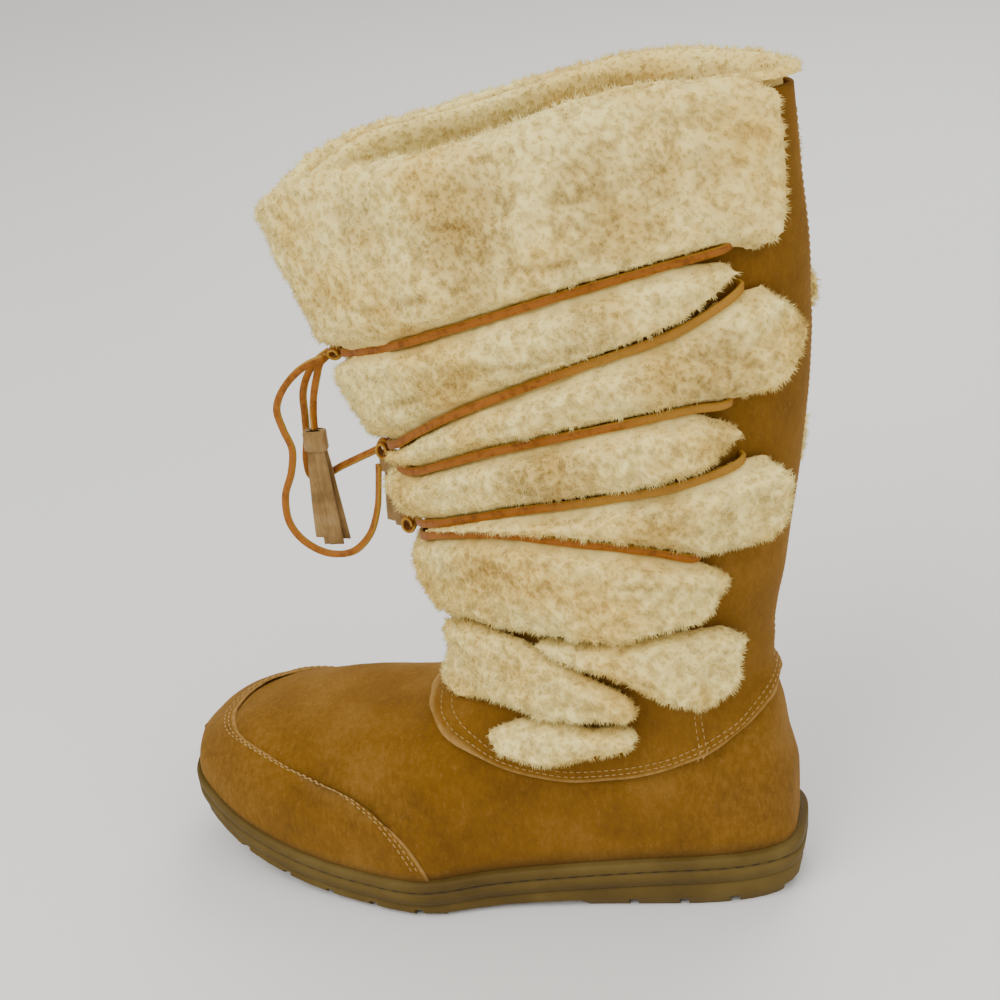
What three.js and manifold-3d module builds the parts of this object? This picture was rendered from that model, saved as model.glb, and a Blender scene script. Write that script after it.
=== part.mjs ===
// A tall mukluk boot for the left foot: a moulded sole, a suede foot, a suede leg with a skirt
// that laps over the foot, sheepskin bands with the fleece outside, and a wrapped leather lace
// that is tied in front with two tassels.
// Millimetres. The toe points along -X, the outer side of the foot along -Y, and +Z is up.
// The origin lies on the floor, in the middle of the heel tread.
import * as THREE from 'three';
import { mergeVertices } from 'three/addons/utils/BufferGeometryUtils.js';
import Module from 'manifold-3d';

const wasm = await Module();
wasm.setup();

// Sole
const soleLength = 285;
const heelBack = 40;            // from the origin to the back edge of the sole
const ballWidth = 112;
const heelHeight = 27;
const foreHeight = 20.5;
const toeSpring = 22.5;
const outsoleHeelThick = 13;
const outsoleForeThick = 7;
const sideBevel = 5;            // how far the tread is drawn in from the edge of the sole
const weltGroove = 1.3;         // depth of the stitched groove round the side
const weltGrooveDown = 6;       // from the top of the sole to that groove
const treadPitch = 22;
const treadGroove = 4;
const treadDepth = 4.5;
const heelBreast = -52;         // front face of the heel block
const foreBlockBack = -116;     // rear end of the forefoot tread
const archRise = 4.5;

// Upper, leg and insole
const lip = 3.5;                // the sole stands out this far from the upper
const wall = 2.4;
const seam = 0.4;               // clearance between pieces that lie on each other
const instepHeight = 100;
const toeCapThick = 1.3;
const insoleThick = 6;
const insoleGap = 0.6;
const ankleTop = 108;           // top line of the foot, hidden under the skirt
const legHeight = 364;          // suede rim at the back
const calfDepth = 198;
const calfWidth = 88;
const rimDrop = 54;             // the rim is this much lower in front

// Fleece and lace
const fleeceThick = 13;
const fleecePressed = 4;        // where the lace presses it
const fleeceOverRim = 8;
const fleeceGap = 1.4;
const fleeceSlope = 5;
const lockDepth = 2;
const laceWidth = 4.2;
const laceThick = 2.4;
const laceGap = 0.25;           // clearance beside a bar
const crossingDeep = 1.8;       // half sizes of the crossings and of the knots in front of them
const knotHigh = 3.1;
const knotWide = 5.5;
const knotDeep = 3.4;
const cordDiameter = 3;
const tasselStrip = 4.6;        // width of a strip at its top
const tasselSpread = 1.35;      // how much wider the strips get on their way down
const tasselThick = 1.6;
const tasselHead = 9;

const round = Math.PI * 2;
const mix = (a, b, k) => a + (b - a) * k;
const clamp = (v, low, high) => Math.min(high, Math.max(low, v));
const ease = (v) => v * v * (3 - 2 * v);
const radians = (degrees) => degrees * Math.PI / 180;
const power = (v, p) => Math.sign(v) * Math.abs(v) ** p;

// A column of a table at a position, joined by smooth cubics through the rows.
function along(rows, column, at) {
  const last = rows.length - 1;
  if (at <= rows[0].at) return rows[0][column];
  if (at >= rows[last].at) return rows[last][column];
  const i = rows.findIndex((row) => row.at > at) - 1;
  const slope = (k) => {
    const a = rows[Math.max(k - 1, 0)];
    const b = rows[Math.min(k + 1, last)];
    return (b[column] - a[column]) / (b.at - a.at);
  };
  const [p, q] = [rows[i], rows[i + 1]];
  const span = q.at - p.at;
  const t = (at - p.at) / span;
  return (1 + 2 * t) * (1 - t) ** 2 * p[column] + t * (1 - t) ** 2 * span * slope(i)
    + t * t * (3 - 2 * t) * q[column] + t * t * (t - 1) * span * slope(i + 1);
}

// A closed body between successive closed rings. Ends are capped unless they close on themselves.
function loft(rings, { closed = false, caps = [false, false] } = {}) {
  const points = [];
  const n = rings[0].length;
  const quad = (a, b, c, d) => points.push(a, b, c, a, c, d);
  const steps = closed ? rings.length : rings.length - 1;
  for (let i = 0; i < steps; i++) {
    const [r, s] = [rings[i], rings[(i + 1) % rings.length]];
    for (let j = 0; j < n; j++) quad(r[j], r[(j + 1) % n], s[(j + 1) % n], s[j]);
  }
  const cap = (r, turned) => {
    for (let j = 0; j < n / 2 - 1; j++) {
      if (turned) quad(r[j], r[n - 1 - j], r[n - 2 - j], r[j + 1]);
      else quad(r[j], r[j + 1], r[n - 2 - j], r[n - 1 - j]);
    }
  };
  if (caps[0]) cap(rings[0], true);
  if (caps[1]) cap(rings[rings.length - 1], false);
  return cleaned(points);
}

// Merges the corners, drops triangles with no area and turns the body's faces outwards.
function cleaned(points) {
  const g = new THREE.BufferGeometry().setFromPoints(points);
  const merged = mergeVertices(g, 1e-3);
  const index = merged.index.array;
  const p = merged.attributes.position;
  const kept = [];
  let volume = 0;
  const [a, b, c] = [new THREE.Vector3(), new THREE.Vector3(), new THREE.Vector3()];
  for (let i = 0; i < index.length; i += 3) {
    const t = [index[i], index[i + 1], index[i + 2]];
    if (t[0] === t[1] || t[1] === t[2] || t[2] === t[0]) continue;
    [a, b, c].forEach((v, k) => v.fromBufferAttribute(p, t[k]));
    volume += a.dot(b.clone().cross(c));
    kept.push(t);
  }
  merged.setIndex(kept.flatMap((t) => (volume < 0 ? [t[0], t[2], t[1]] : t)));
  return merged;
}

function solidOf(geometry) {
  const g = geometry.clone();
  g.deleteAttribute('normal');
  g.deleteAttribute('uv');
  const merged = mergeVertices(g, 1e-3);
  return new wasm.Manifold(new wasm.Mesh({
    numProp: 3,
    vertProperties: new Float32Array(merged.attributes.position.array),
    triVerts: new Uint32Array(merged.index.array),
  }));
}

function geometryOf(solid) {
  const mesh = solid.getMesh();
  const g = new THREE.BufferGeometry();
  g.setAttribute('position', new THREE.BufferAttribute(new Float32Array(mesh.vertProperties), 3));
  return g.setIndex([...mesh.triVerts]);
}

// The last, from heel (0) to toe (1). half and centre are shares of ballWidth, ridge of instepHeight.
const last = [
  { at: 0.00, half: 0.375, centre: 0.000, ridge: 0.62 },
  { at: 0.025, half: 0.378, centre: 0.000, ridge: 0.95 },
  { at: 0.05, half: 0.380, centre: 0.000, ridge: 1.10 },
  { at: 0.10, half: 0.385, centre: 0.000, ridge: 1.20 },
  { at: 0.25, half: 0.385, centre: 0.000, ridge: 1.22 },
  { at: 0.38, half: 0.390, centre: -0.015, ridge: 1.17 },
  { at: 0.47, half: 0.420, centre: -0.020, ridge: 1.05 },
  { at: 0.58, half: 0.490, centre: -0.032, ridge: 0.91 },
  { at: 0.70, half: 0.510, centre: 0.017, ridge: 0.845 },
  { at: 0.82, half: 0.516, centre: 0.048, ridge: 0.77 },
  { at: 0.90, half: 0.519, centre: 0.068, ridge: 0.717 },
  { at: 0.96, half: 0.513, centre: 0.080, ridge: 0.62 },
  { at: 1.00, half: 0.505, centre: 0.060, ridge: 0.53 },
];
const heelBlunt = 0.52;         // how square the ends of the outline are
const toeBlunt = 0.64;
const archBlunt = 2 / 2.5;      // and the arch of a cross-section

// The outline at a station, drawn in by an inset: where it is and how far it reaches to each side.
function plan(s, inset) {
  const blunt = mix(heelBlunt, toeBlunt, ease(s));
  const closing = (2 * Math.sqrt(clamp(s * (1 - s), 0, 0.25))) ** blunt;
  return {
    x: heelBack - inset - (soleLength - 2 * inset) * s,
    middle: along(last, 'centre', s) * ballWidth,
    half: (along(last, 'half', s) * ballWidth - inset) * closing,
  };
}

const stationOf = (x) => (heelBack - x) / soleLength;
const spring = (s) => toeSpring * clamp((s - 0.68) / 0.32, 0, 1) ** 1.8;
const tapered = (atHeel, atFore, s) => mix(atHeel, atFore, ease(clamp((s - 0.12) / 0.46, 0, 1)));
const soleTop = (s) => tapered(heelHeight, foreHeight, s) + spring(s);
const parting = (s) => tapered(outsoleHeelThick, outsoleForeThick, s) + spring(s);
const stations = (n, from = 0, to = 1) => {
  const turn = (s) => Math.acos(1 - 2 * s);
  return Array.from({ length: n + 1 }, (_, i) => (1 - Math.cos(mix(turn(from), turn(to), i / n))) / 2);
};

const soleSteps = 32;

// A plate of the sole's outline, from a profile of its side: rows of inset and height, bottom to top.
function plate(profile, n) {
  return loft(stations(n).map((s) => {
    const side = (sign) => profile(s).map(([inset], k) => {
      const { x, middle, half } = plan(s, inset);
      return new THREE.Vector3(x, middle + sign * half, profile(stationOf(x))[k][1]);
    });
    return [...side(-1), ...side(1).reverse()];
  }));
}

function midsole() {
  const groove = weltGroove * 0.7;
  return plate((s) => {
    const [low, top] = [parting(s) + seam, soleTop(s)];
    const line = top - weltGrooveDown;
    return [[1.4, low], [0.4, low + 1], [0.2, line - groove], [weltGroove, line], [0, line + groove],
      [0, top - 1.2], [1.2, top]];
  }, soleSteps);
}

function box(x, y, z, width, depth, height) {
  return solidOf(new THREE.BoxGeometry(width, depth, height).translate(x, y, z));
}

// A prism across the boot with the given outline in X and Z.
function across(outline) {
  const shape = new THREE.Shape(outline.map(([x, z]) => new THREE.Vector2(x, z)));
  const wide = ballWidth * 2;
  const g = new THREE.ExtrudeGeometry(shape, { depth: wide, bevelEnabled: false });
  return solidOf(g.rotateX(Math.PI / 2).translate(0, wide / 2, 0));
}

function outsole() {
  let made = solidOf(plate((s) => {
    const [low, top] = [spring(s), parting(s)];
    return [[sideBevel, low], [sideBevel * 0.42, low + (top - low) * 0.42], [2, top - 1], [2.6, top]];
  }, soleSteps));
  made = made.subtract(across([[heelBreast, -1], [heelBreast - 4, archRise], [foreBlockBack, 1.6],
    [foreBlockBack + 2, -1]]));
  const grooves = [];
  for (let x = 1.5 * treadPitch; x > heelBreast + treadPitch / 2; x -= treadPitch) grooves.push(x);
  const toe = heelBack - soleLength;
  for (let x = foreBlockBack - treadPitch / 2; x > toe + treadPitch * 0.7; x -= treadPitch) grooves.push(x);
  for (const x of grooves) {
    const z = spring(stationOf(x));
    made = made.subtract(box(x, 0, z, treadGroove, ballWidth * 2, treadDepth * 2));
  }
  return geometryOf(made);
}

// A point of the foot: station, angle over the arch from the outer side, and offset outwards.
function footPoint(s, angle, off) {
  const { x, middle, half } = plan(s, lip - off);
  const low = soleTop(stationOf(x)) + seam;
  const rise = along(last, 'ridge', s) * instepHeight + off - low;
  const [c, q] = [Math.cos(angle), Math.sin(angle)];
  return new THREE.Vector3(x, middle - half * power(c, archBlunt), low + rise * power(Math.max(q, 0), archBlunt));
}

const footSteps = 25;
const footFaces = 16;
const archAngles = (n) => Array.from({ length: n + 1 }, (_, j) => Math.PI * j / n);

// The toe cap is a step in the foot's wall, from the ball on each side to a rounded front over the toes.
// at is the angle over the arch in degrees, from the outer side, and s the station of the seam.
const capSeam = [
  { at: 0, s: 0.564 }, { at: 14, s: 0.606 }, { at: 27, s: 0.672 }, { at: 37, s: 0.772 }, { at: 45, s: 0.839 },
  { at: 52, s: 0.886 }, { at: 60, s: 0.911 }, { at: 75, s: 0.928 }, { at: 88, s: 0.930 }, { at: 99, s: 0.908 },
  { at: 112, s: 0.865 }, { at: 135, s: 0.785 }, { at: 155, s: 0.680 }, { at: 180, s: 0.564 },
];
function toeCap() {
  const angles = archAngles(footFaces);
  const seamAt = (a) => along(capSeam, 's', a * 180 / Math.PI);
  const n = 9;
  const arch = (i, off) => angles.map((a) => footPoint(stations(n, seamAt(a), 1)[i], a, off));
  const rings = Array.from({ length: n + 1 }, (_, i) => [...arch(i, toeCapThick), ...arch(i, -wall / 2).reverse()]);
  return loft(rings, { caps: [true, false] });
}

// The foot as a filled form, grown by an offset.
function footForm(off) {
  return solidOf(loft(stations(footSteps).map((s) => archAngles(footFaces).map((a) => footPoint(s, a, off)))));
}

// The suede foot: one wall from the sole to the ankle, open below and at the ankle.
function upper() {
  const angles = archAngles(footFaces);
  const shell = loft(stations(footSteps).map((s) => [
    ...angles.map((a) => footPoint(s, a, 0)),
    ...angles.map((a) => footPoint(s, a, -wall)).reverse(),
  ]));
  const front = heelBack - 0.44 * soleLength;
  const above = across([[front, instepHeight * 2], [front, ankleTop - 4], [front + 12, ankleTop - 8],
    [heelBack * 0.3, ankleTop], [heelBack * 2, ankleTop + 2], [heelBack * 2, instepHeight * 2]]);
  return geometryOf(solidOf(shell).add(solidOf(toeCap())).subtract(above));
}

// The insole fills the foot's floor, trimmed to the room inside the wall.
function insole() {
  const inset = lip + wall;
  const slab = plate((s) => {
    const low = soleTop(s) + seam;
    return [[inset, low - seam / 2], [inset, low + insoleThick - 1.5], [inset + 2.5, low + insoleThick]];
  }, 24);
  return geometryOf(solidOf(slab).intersect(footForm(-wall - insoleGap)));
}

// The leg by height: at is the share of legHeight, back and front are shares of calfDepth
// from the origin, half and lean are shares of calfWidth. The slack top leans outwards.
const leg = [
  { at: 0.19, back: 0.150, front: -0.530, half: 0.41, lean: 0 },
  { at: 0.29, back: 0.146, front: -0.520, half: 0.41, lean: 0 },
  { at: 0.33, back: 0.145, front: -0.510, half: 0.42, lean: 0 },
  { at: 0.38, back: 0.152, front: -0.525, half: 0.425, lean: 0 },
  { at: 0.435, back: 0.172, front: -0.555, half: 0.435, lean: 0 },
  { at: 0.58, back: 0.215, front: -0.610, half: 0.47, lean: 0 },
  { at: 0.72, back: 0.240, front: -0.700, half: 0.475, lean: 0 },
  { at: 0.77, back: 0.239, front: -0.723, half: 0.456, lean: -0.023 },
  { at: 0.84, back: 0.238, front: -0.765, half: 0.425, lean: -0.052 },
  { at: 0.92, back: 0.232, front: -0.790, half: 0.36, lean: -0.088 },
  { at: 1.00, back: 0.225, front: -0.800, half: 0.28, lean: -0.130 },
];

function legSection(z) {
  const at = z / legHeight;
  const back = along(leg, 'back', at) * calfDepth;
  const front = along(leg, 'front', at) * calfDepth;
  return {
    x: (back + front) / 2,
    y: along(leg, 'lean', at) * calfWidth,
    deep: (back - front) / 2,
    half: along(leg, 'half', at) * calfWidth,
  };
}

// How far the foot reaches from the leg's axis, at a height and in a direction.
function footReach(z, x0, dx, dy, off) {
  const inset = lip - off;
  const inside = (r) => {
    const s = (heelBack - inset - (x0 + dx * r)) / (soleLength - 2 * inset);
    if (s <= 0 || s >= 1) return false;
    const { middle, half } = plan(s, inset);
    const low = soleTop(stationOf(x0 + dx * r)) + seam;
    const h = (z - low) / (along(last, 'ridge', s) * instepHeight + off - low);
    if (h >= 1 || half <= 0) return false;
    return (Math.abs(dy * r - middle) / half) ** (2 / archBlunt) + Math.max(h, 0) ** (2 / archBlunt) < 1;
  };
  if (!inside(0)) return 0;
  let [near, far] = [0, soleLength];
  for (let k = 0; k < 24; k++) {
    const r = (near + far) / 2;
    if (inside(r)) near = r;
    else far = r;
  }
  return near;
}

// The larger of two lengths, with the corner between them rounded.
function blended(a, b, corner) {
  const h = clamp((corner - Math.abs(a - b)) / corner, 0, 1);
  return Math.max(a, b) + h * h * corner / 4;
}

// A point of the leg's outer face. The angle runs from the back seam (0) over the outer side (90)
// to the front (180), in degrees. off is outwards from the suede.
function legPoint(angle, z, off) {
  const { x, y, deep, half } = legSection(z);
  const [ex, ey] = [deep * Math.cos(radians(angle)), -half * Math.sin(radians(angle))];
  const reach = Math.hypot(ex, ey);
  const [dx, dy] = [ex / reach, ey / reach];
  const foot = footReach(z, x, dx, dy, seam + wall + Math.min(off, 0));
  const r = blended(foot, reach + Math.min(off, 0), 5) + Math.max(off, 0);
  return new THREE.Vector3(x + dx * r, y + dy * r, z);
}

// Heights round the leg, from the back (0) to the front (180). Both halves are alike.
const skirtEdge = [
  { at: 0, z: 1.04 }, { at: 18, z: 1.01 }, { at: 33, z: 0.95 }, { at: 45, z: 0.87 }, { at: 57, z: 0.80 },
  { at: 72, z: 0.735 }, { at: 90, z: 0.695 }, { at: 104, z: 0.68 }, { at: 114, z: 0.71 }, { at: 122, z: 0.75 },
  { at: 132, z: 0.835 }, { at: 142, z: 0.895 }, { at: 156, z: 0.94 }, { at: 180, z: 0.95 },
];
const rimFall = [
  { at: 0, z: 0 }, { at: 60, z: 0 }, { at: 75, z: 0.08 }, { at: 90, z: 0.235 }, { at: 105, z: 0.385 },
  { at: 120, z: 0.49 }, { at: 135, z: 0.57 }, { at: 150, z: 0.72 }, { at: 180, z: 1 },
];
const half = (angle) => 180 - Math.abs(180 - angle);
const skirtZ = (angle) => along(skirtEdge, 'z', half(angle)) * instepHeight;
const rimZ = (angle) => legHeight - rimDrop * along(rimFall, 'z', half(angle));
const column = 12;              // degrees between the columns that every piece on the leg shares

// An open tube round the leg, from the skirt's edge to the rim.
function legTube(inner, outer) {
  const rows = [0, 0.012, 0.026, 0.042, 0.06, 0.08, 0.105, 0.14, 0.2, 0.3, 0.45, 0.64, 0.75, 0.84, 0.92, 1];
  const rings = [];
  for (let angle = 0; angle < 360; angle += column) {
    const [low, high] = [skirtZ(angle), rimZ(angle)];
    const face = (off) => rows.map((k) => legPoint(angle, mix(low, high, k), off));
    rings.push([...face(outer), ...face(inner).reverse()]);
  }
  return solidOf(loft(rings, { closed: true }));
}

// The suede leg, whose skirt laps over the foot.
function shaft() {
  let made = legTube(-wall, 0).subtract(footForm(seam));
  for (const path of Object.values(laceBars)) {
    for (const side of [1, -1]) made = made.subtract(slot(path[0], side));
  }
  return geometryOf(made);
}

// The lace on the outer side. Each bar runs from its slot in the suede to the crossing in front;
// at is the angle from the back seam, z a share of legHeight.
const laceBars = {
  first: [{ at: 46, z: 0.852 }, { at: 65, z: 0.838 }, { at: 84, z: 0.816 }, { at: 110, z: 0.772 },
    { at: 129, z: 0.742 }, { at: 150, z: 0.718 }, { at: 180, z: 0.690 }],
  second: [{ at: 44, z: 0.806 }, { at: 61, z: 0.770 }, { at: 83, z: 0.737 }, { at: 108, z: 0.687 },
    { at: 135, z: 0.632 }, { at: 150, z: 0.606 }, { at: 180, z: 0.576 }],
  third: [{ at: 50, z: 0.678 }, { at: 63, z: 0.678 }, { at: 86, z: 0.660 }, { at: 106, z: 0.635 },
    { at: 142, z: 0.580 }, { at: 160, z: 0.566 }, { at: 180, z: 0.560 }],
  fourth: [{ at: 46, z: 0.610 }, { at: 64, z: 0.592 }, { at: 84, z: 0.580 }, { at: 106, z: 0.560 },
    { at: 136, z: 0.520 }, { at: 160, z: 0.494 }, { at: 180, z: 0.480 }],
  fifth: [{ at: 60, z: 0.495 }, { at: 78, z: 0.516 }, { at: 96, z: 0.525 }, { at: 114, z: 0.524 },
    { at: 138, z: 0.502 }, { at: 160, z: 0.476 }, { at: 180, z: 0.462 }],
};
const barZ = (bar, angle) => along(laceBars[bar], 'z', angle) * legHeight;
const slotBack = 4;             // degrees from the end of a bar to the slot behind it

function slot(end, side) {
  const at = legPoint(side * (end.at - slotBack), end.z * legHeight, 0);
  const section = legSection(at.z);
  const turn = Math.atan2(at.y - section.y, at.x - section.x);
  const cutter = new THREE.BoxGeometry(wall * 5, laceThick + 0.8, laceWidth + 1).rotateZ(turn);
  return solidOf(cutter.translate(at.x, at.y, at.z));
}

// Angles of a stretch round the leg: its ends, and every shared column between them.
function columns(from, to) {
  const list = [from];
  for (let a = Math.ceil((from + 1) / column) * column; a < to - 1; a += column) list.push(a);
  list.push(to);
  return list;
}

// A strap along a lace bar, grown by a clearance and standing up to a height over the fleece's edge.
function laceBar(bar, side, grown, high) {
  const reach = laceWidth / 2 + grown;
  const rings = columns(laceBars[bar][0].at, 180).map((angle) => {
    const z = barZ(bar, angle);
    const at = (dz, off) => legPoint(side * angle, z + dz, fleeceGap + fleecePressed + off);
    return [at(-reach, seam - grown), at(-reach, high), at(reach, high), at(reach, seam - grown)];
  });
  return solidOf(loft(rings, { caps: [true, true] }));
}

// Where a pair of bars crosses in front, and the knot that is tied on the crossing.
const lacePairs = { top: ['first'], middle: ['second', 'third'], lower: ['fourth', 'fifth'] };
const crossingOff = fleeceGap + fleecePressed + seam + crossingDeep;
const knotOff = crossingOff + crossingDeep + seam + knotDeep;
function frontBall(pair, off, deep, grown) {
  const z = pair.reduce((sum, bar) => sum + barZ(bar, 180), 0) / pair.length;
  const at = legPoint(180, z, off);
  const high = knotHigh + (pair.length - 1) * 2 + grown;
  const ball = new THREE.SphereGeometry(1, 12, 8).scale(deep + grown, knotWide + grown, high);
  return solidOf(ball.translate(at.x, at.y, at.z));
}

const knot = (pair, grown) => frontBall(pair, knotOff, knotDeep, grown);
function laceWrap(pair, grown, high) {
  const parts = pair.flatMap((bar) => [laceBar(bar, 1, grown, high), laceBar(bar, -1, grown, high)]);
  return parts.reduce((all, p) => all.add(p), frontBall(pair, crossingOff, crossingDeep, grown));
}

const besideLace = Object.values(lacePairs).flatMap((pair) => (
  [laceWrap(pair, laceGap, fleeceThick * 1.5), knot(pair, laceGap)]
));

// Fleece bands. low and high give the edges as heights at an angle; from and to are angles.
// rounded is how far from each end the band narrows to its tip, in degrees.
function fleeceBand({
  from, to, low, high, rounded, thick = fleeceThick, flange = [true, true],
  locks = 0, backing = 2, lift = 0, side = 1,
}) {
  const angles = columns(from, to);
  const rings = angles.map((angle, i) => {
    const nearEnd = Math.min(angle - from, to - angle);
    const open = Math.sqrt(clamp(1 - (1 - clamp(nearEnd / rounded, 0, 1)) ** 2, 0.02, 1));
    const [bottom, top] = [low(angle), high(angle)];
    const middle = (bottom + top) / 2;
    const reach = Math.max((top - bottom) / 2 * open, 1.2);
    const hang = (sign) => (flange[sign < 0 ? 0 : 1] ? 0 : locks * Math.sin(i * 2.4));
    const edge = (sign) => middle + sign * reach + sign * hang(sign);
    const full = mix(fleecePressed, thick, Math.min(1, open * 1.15));
    const bump = (j) => lockDepth * Math.sin(i * 2.1 + j * 1.9) * Math.cos(i * 0.9 - j * 2.3);
    const ledge = (sign) => Math.min((flange[sign < 0 ? 0 : 1] ? laceWidth / 2 + 1 : 0.6), reach * 0.4);
    const slope = Math.min(fleeceSlope, reach * 0.45);
    const at = (z, height) => legPoint(side * angle, z, fleeceGap + lift + height);
    const [e0, e1] = [edge(-1), edge(1)];
    const [f0, f1] = [e0 + ledge(-1), e1 - ledge(1)];
    const pressed = fleecePressed;
    return [
      at(e0, pressed), at(f0, pressed), at(f0 + slope * 0.35, mix(pressed, full, 0.72)),
      at(f0 + slope, full + bump(1)), at(middle, full + bump(2)), at(f1 - slope, full + bump(3)),
      at(f1 - slope * 0.35, mix(pressed, full, 0.72)), at(f1, pressed), at(e1, pressed),
      ...Array.from({ length: backing + 1 }, (_, k) => at(mix(e1, e0, k / backing), 0)),
    ];
  });
  const band = solidOf(loft(rings, { caps: [true, true] }));
  return geometryOf(besideLace.reduce((left, p) => left.subtract(p), band));
}

const grooveHalf = 0.4;         // half the gap between two bands under the lace
const above = (bar) => (a) => barZ(bar, half(a)) + grooveHalf;
const below = (bar) => (a) => barZ(bar, half(a)) - grooveHalf;
const level = (rows, size) => (a) => along(rows, 'z', half(a)) * size;
const hem = level([{ at: 48, z: 0.432 }, { at: 70, z: 0.402 }, { at: 92, z: 0.396 }, { at: 115, z: 0.397 },
  { at: 132, z: 0.392 }, { at: 155, z: 0.378 }, { at: 180, z: 0.366 }], legHeight);
const hemGap = 3;               // the flaps start this far under the hem
const cuffHem = level([{ at: 22, z: 0.825 }, { at: 34, z: 0.834 }, { at: 46, z: 0.856 }], legHeight);
const loop = (from) => ({ from, to: 360 - from });

const bands = {
  fleece_cuff: { ...loop(26), low: (a) => (half(a) < laceBars.first[0].at ? cuffHem(a) + grooveHalf
    : above('first')(a)),
    high: (a) => rimZ(a) + fleeceOverRim, rounded: 6, flange: [true, false], lift: 0.8 },
  fleece_tongue_upper: { ...loop(45), low: above('second'), high: below('first'), rounded: 22 },
  fleece_tongue_lower: { ...loop(47), low: above('fourth'), high: below('third'), rounded: 20 },
  fleece_band_ankle: { ...loop(48), low: hem, high: below('fifth'), rounded: 14, flange: [false, true], locks: 1.4 },
};
const lobes = {
  fleece_lobe_upper: { from: 23, to: 160, low: above('third'), high: below('second') },
  fleece_lobe_lower: { from: 24, to: 150, low: above('fifth'), high: below('fourth') },
};
// Heights of the flaps on the skirt are shares of instepHeight.
const flaps = {
  fleece_flap_heel: { from: 38, to: 112, rounded: 18, lift: -0.3,
    low: level([{ at: 38, z: 1.256 }, { at: 53, z: 1.048 }, { at: 66, z: 1.063 }, { at: 76, z: 1.172 },
      { at: 90, z: 1.267 }, { at: 112, z: 1.340 }], instepHeight),
    high: level([{ at: 38, z: 1.456 }, { at: 112, z: 1.456 }], instepHeight) },
  fleece_flap_instep: { from: 80, to: 176, rounded: 11, lift: 1.4,
    low: level([{ at: 80, z: 1.030 }, { at: 105, z: 1.010 }, { at: 130, z: 1.030 }, { at: 149, z: 1.000 },
      { at: 162, z: 0.985 }, { at: 176, z: 1.010 }], instepHeight),
    high: level([{ at: 80, z: 1.136 }, { at: 92, z: 1.226 }, { at: 107, z: 1.310 }, { at: 125, z: 1.410 },
      { at: 145, z: 1.420 }, { at: 176, z: 1.350 }], instepHeight) },
  fleece_flap_skirt: { from: 80, to: 127, rounded: 10, lift: 0.1,
    low: level([{ at: 80, z: 0.900 }, { at: 100, z: 0.808 }, { at: 115, z: 0.801 },
      { at: 127, z: 0.850 }], instepHeight),
    high: level([{ at: 80, z: 0.995 }, { at: 102, z: 0.980 }, { at: 127, z: 0.995 }], instepHeight) },
};

// The free lengths of the lace, in front of the shin. Their points are chosen by hand.
const cords = {
  lace_loop_outer: [[-152.1, -3.6, 250], [-158, -4, 248], [-165, -4.5, 243.5], [-172.5, -5, 235],
    [-176, -5, 226.5], [-174.5, -5, 217], [-172, -5, 208], [-174, -5, 197], [-178.5, -5, 185], [-178.5, -5, 172],
    [-173, -5, 163], [-163, -5, 157.5], [-152, -5, 158.5], [-143, -5, 167], [-138, -4.5, 179.5],
    [-136, -3.8, 192], [-135, -3.6, 200.6]],
  lace_loop_inner: [[-152.1, 3.6, 250], [-157, 4, 246.5], [-163, 4.5, 239.5], [-167, 5, 230], [-168, 5.5, 219],
    [-169, 6, 208], [-171, 6.5, 197], [-170, 7, 189], [-164, 7, 189.5], [-155, 6.5, 194.5],
    [-145, 5, 200], [-137.4, 3.6, 204.2]],
  lace_end_upper: [[-151.8, 0, 249.6], [-155.5, 0, 246], [-158, 0, 239.5], [-160.5, 0, 231], [-162, 0, 222.5],
    [-162.5, 0, 215.5]],
  lace_end_lower: [[-133, 6.6, 205.5], [-134, 9.5, 204.5], [-134.8, 12, 202], [-135, 12.8, 199.5]],
};

function cord(points) {
  const path = new THREE.CatmullRomCurve3(points.map((p) => new THREE.Vector3(...p)), false, 'centripetal');
  const section = new THREE.Shape();
  section.absarc(0, 0, cordDiameter / 2, 0, round);
  const steps = Math.round(path.getLength() / 6);
  return new THREE.ExtrudeGeometry(section, { steps, curveSegments: 4, bevelEnabled: false, extrudePath: path });
}

// A tassel of leather strips under a wrapped head, hanging from the end of a cord.
function tassel(cordPoints, length, strips, turn) {
  const [x, y, z] = cordPoints[cordPoints.length - 1];
  const top = z - seam * 2;
  const wide = tasselStrip * 2;
  const head = new THREE.BoxGeometry(wide, tasselThick * 3, tasselHead).translate(0, 0, -tasselHead / 2);
  const hung = strips.map(([across0, deep, share, lean]) => {
    const long = length * share - tasselHead / 2;
    const g = new THREE.BoxGeometry(tasselStrip, tasselThick, long, 1, 1, 4);
    const p = g.attributes.position;
    for (let i = 0; i < p.count; i++) {
      const down = 0.5 - p.getZ(i) / long;
      p.setX(i, across0 + p.getX(i) * mix(1, tasselSpread, down) + lean * down * down);
      p.setY(i, deep + p.getY(i) + Math.sin(down * 4 + across0) * 0.5);
      p.setZ(i, -tasselHead / 2 - down * long);
    }
    return solidOf(g);
  });
  const made = hung.reduce((all, p) => all.add(p), solidOf(head));
  return geometryOf(made).rotateZ(radians(turn)).translate(x, y, top);
}

const tasselStrips = {
  upper: [[-2.6, 1.6, 0.95, -1], [2.4, 1.7, 0.98, 3], [-0.2, 0.1, 1, 0.5], [-2.3, -1.5, 0.93, -0.6],
    [1.6, -1.6, 1, 1.2]],
  lower: [[-2.4, 1.5, 0.96, -1.5], [2.4, 1.4, 1, 1], [0, 0, 0.92, 0], [1.2, -1.5, 0.97, 0.6]],
};

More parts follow.
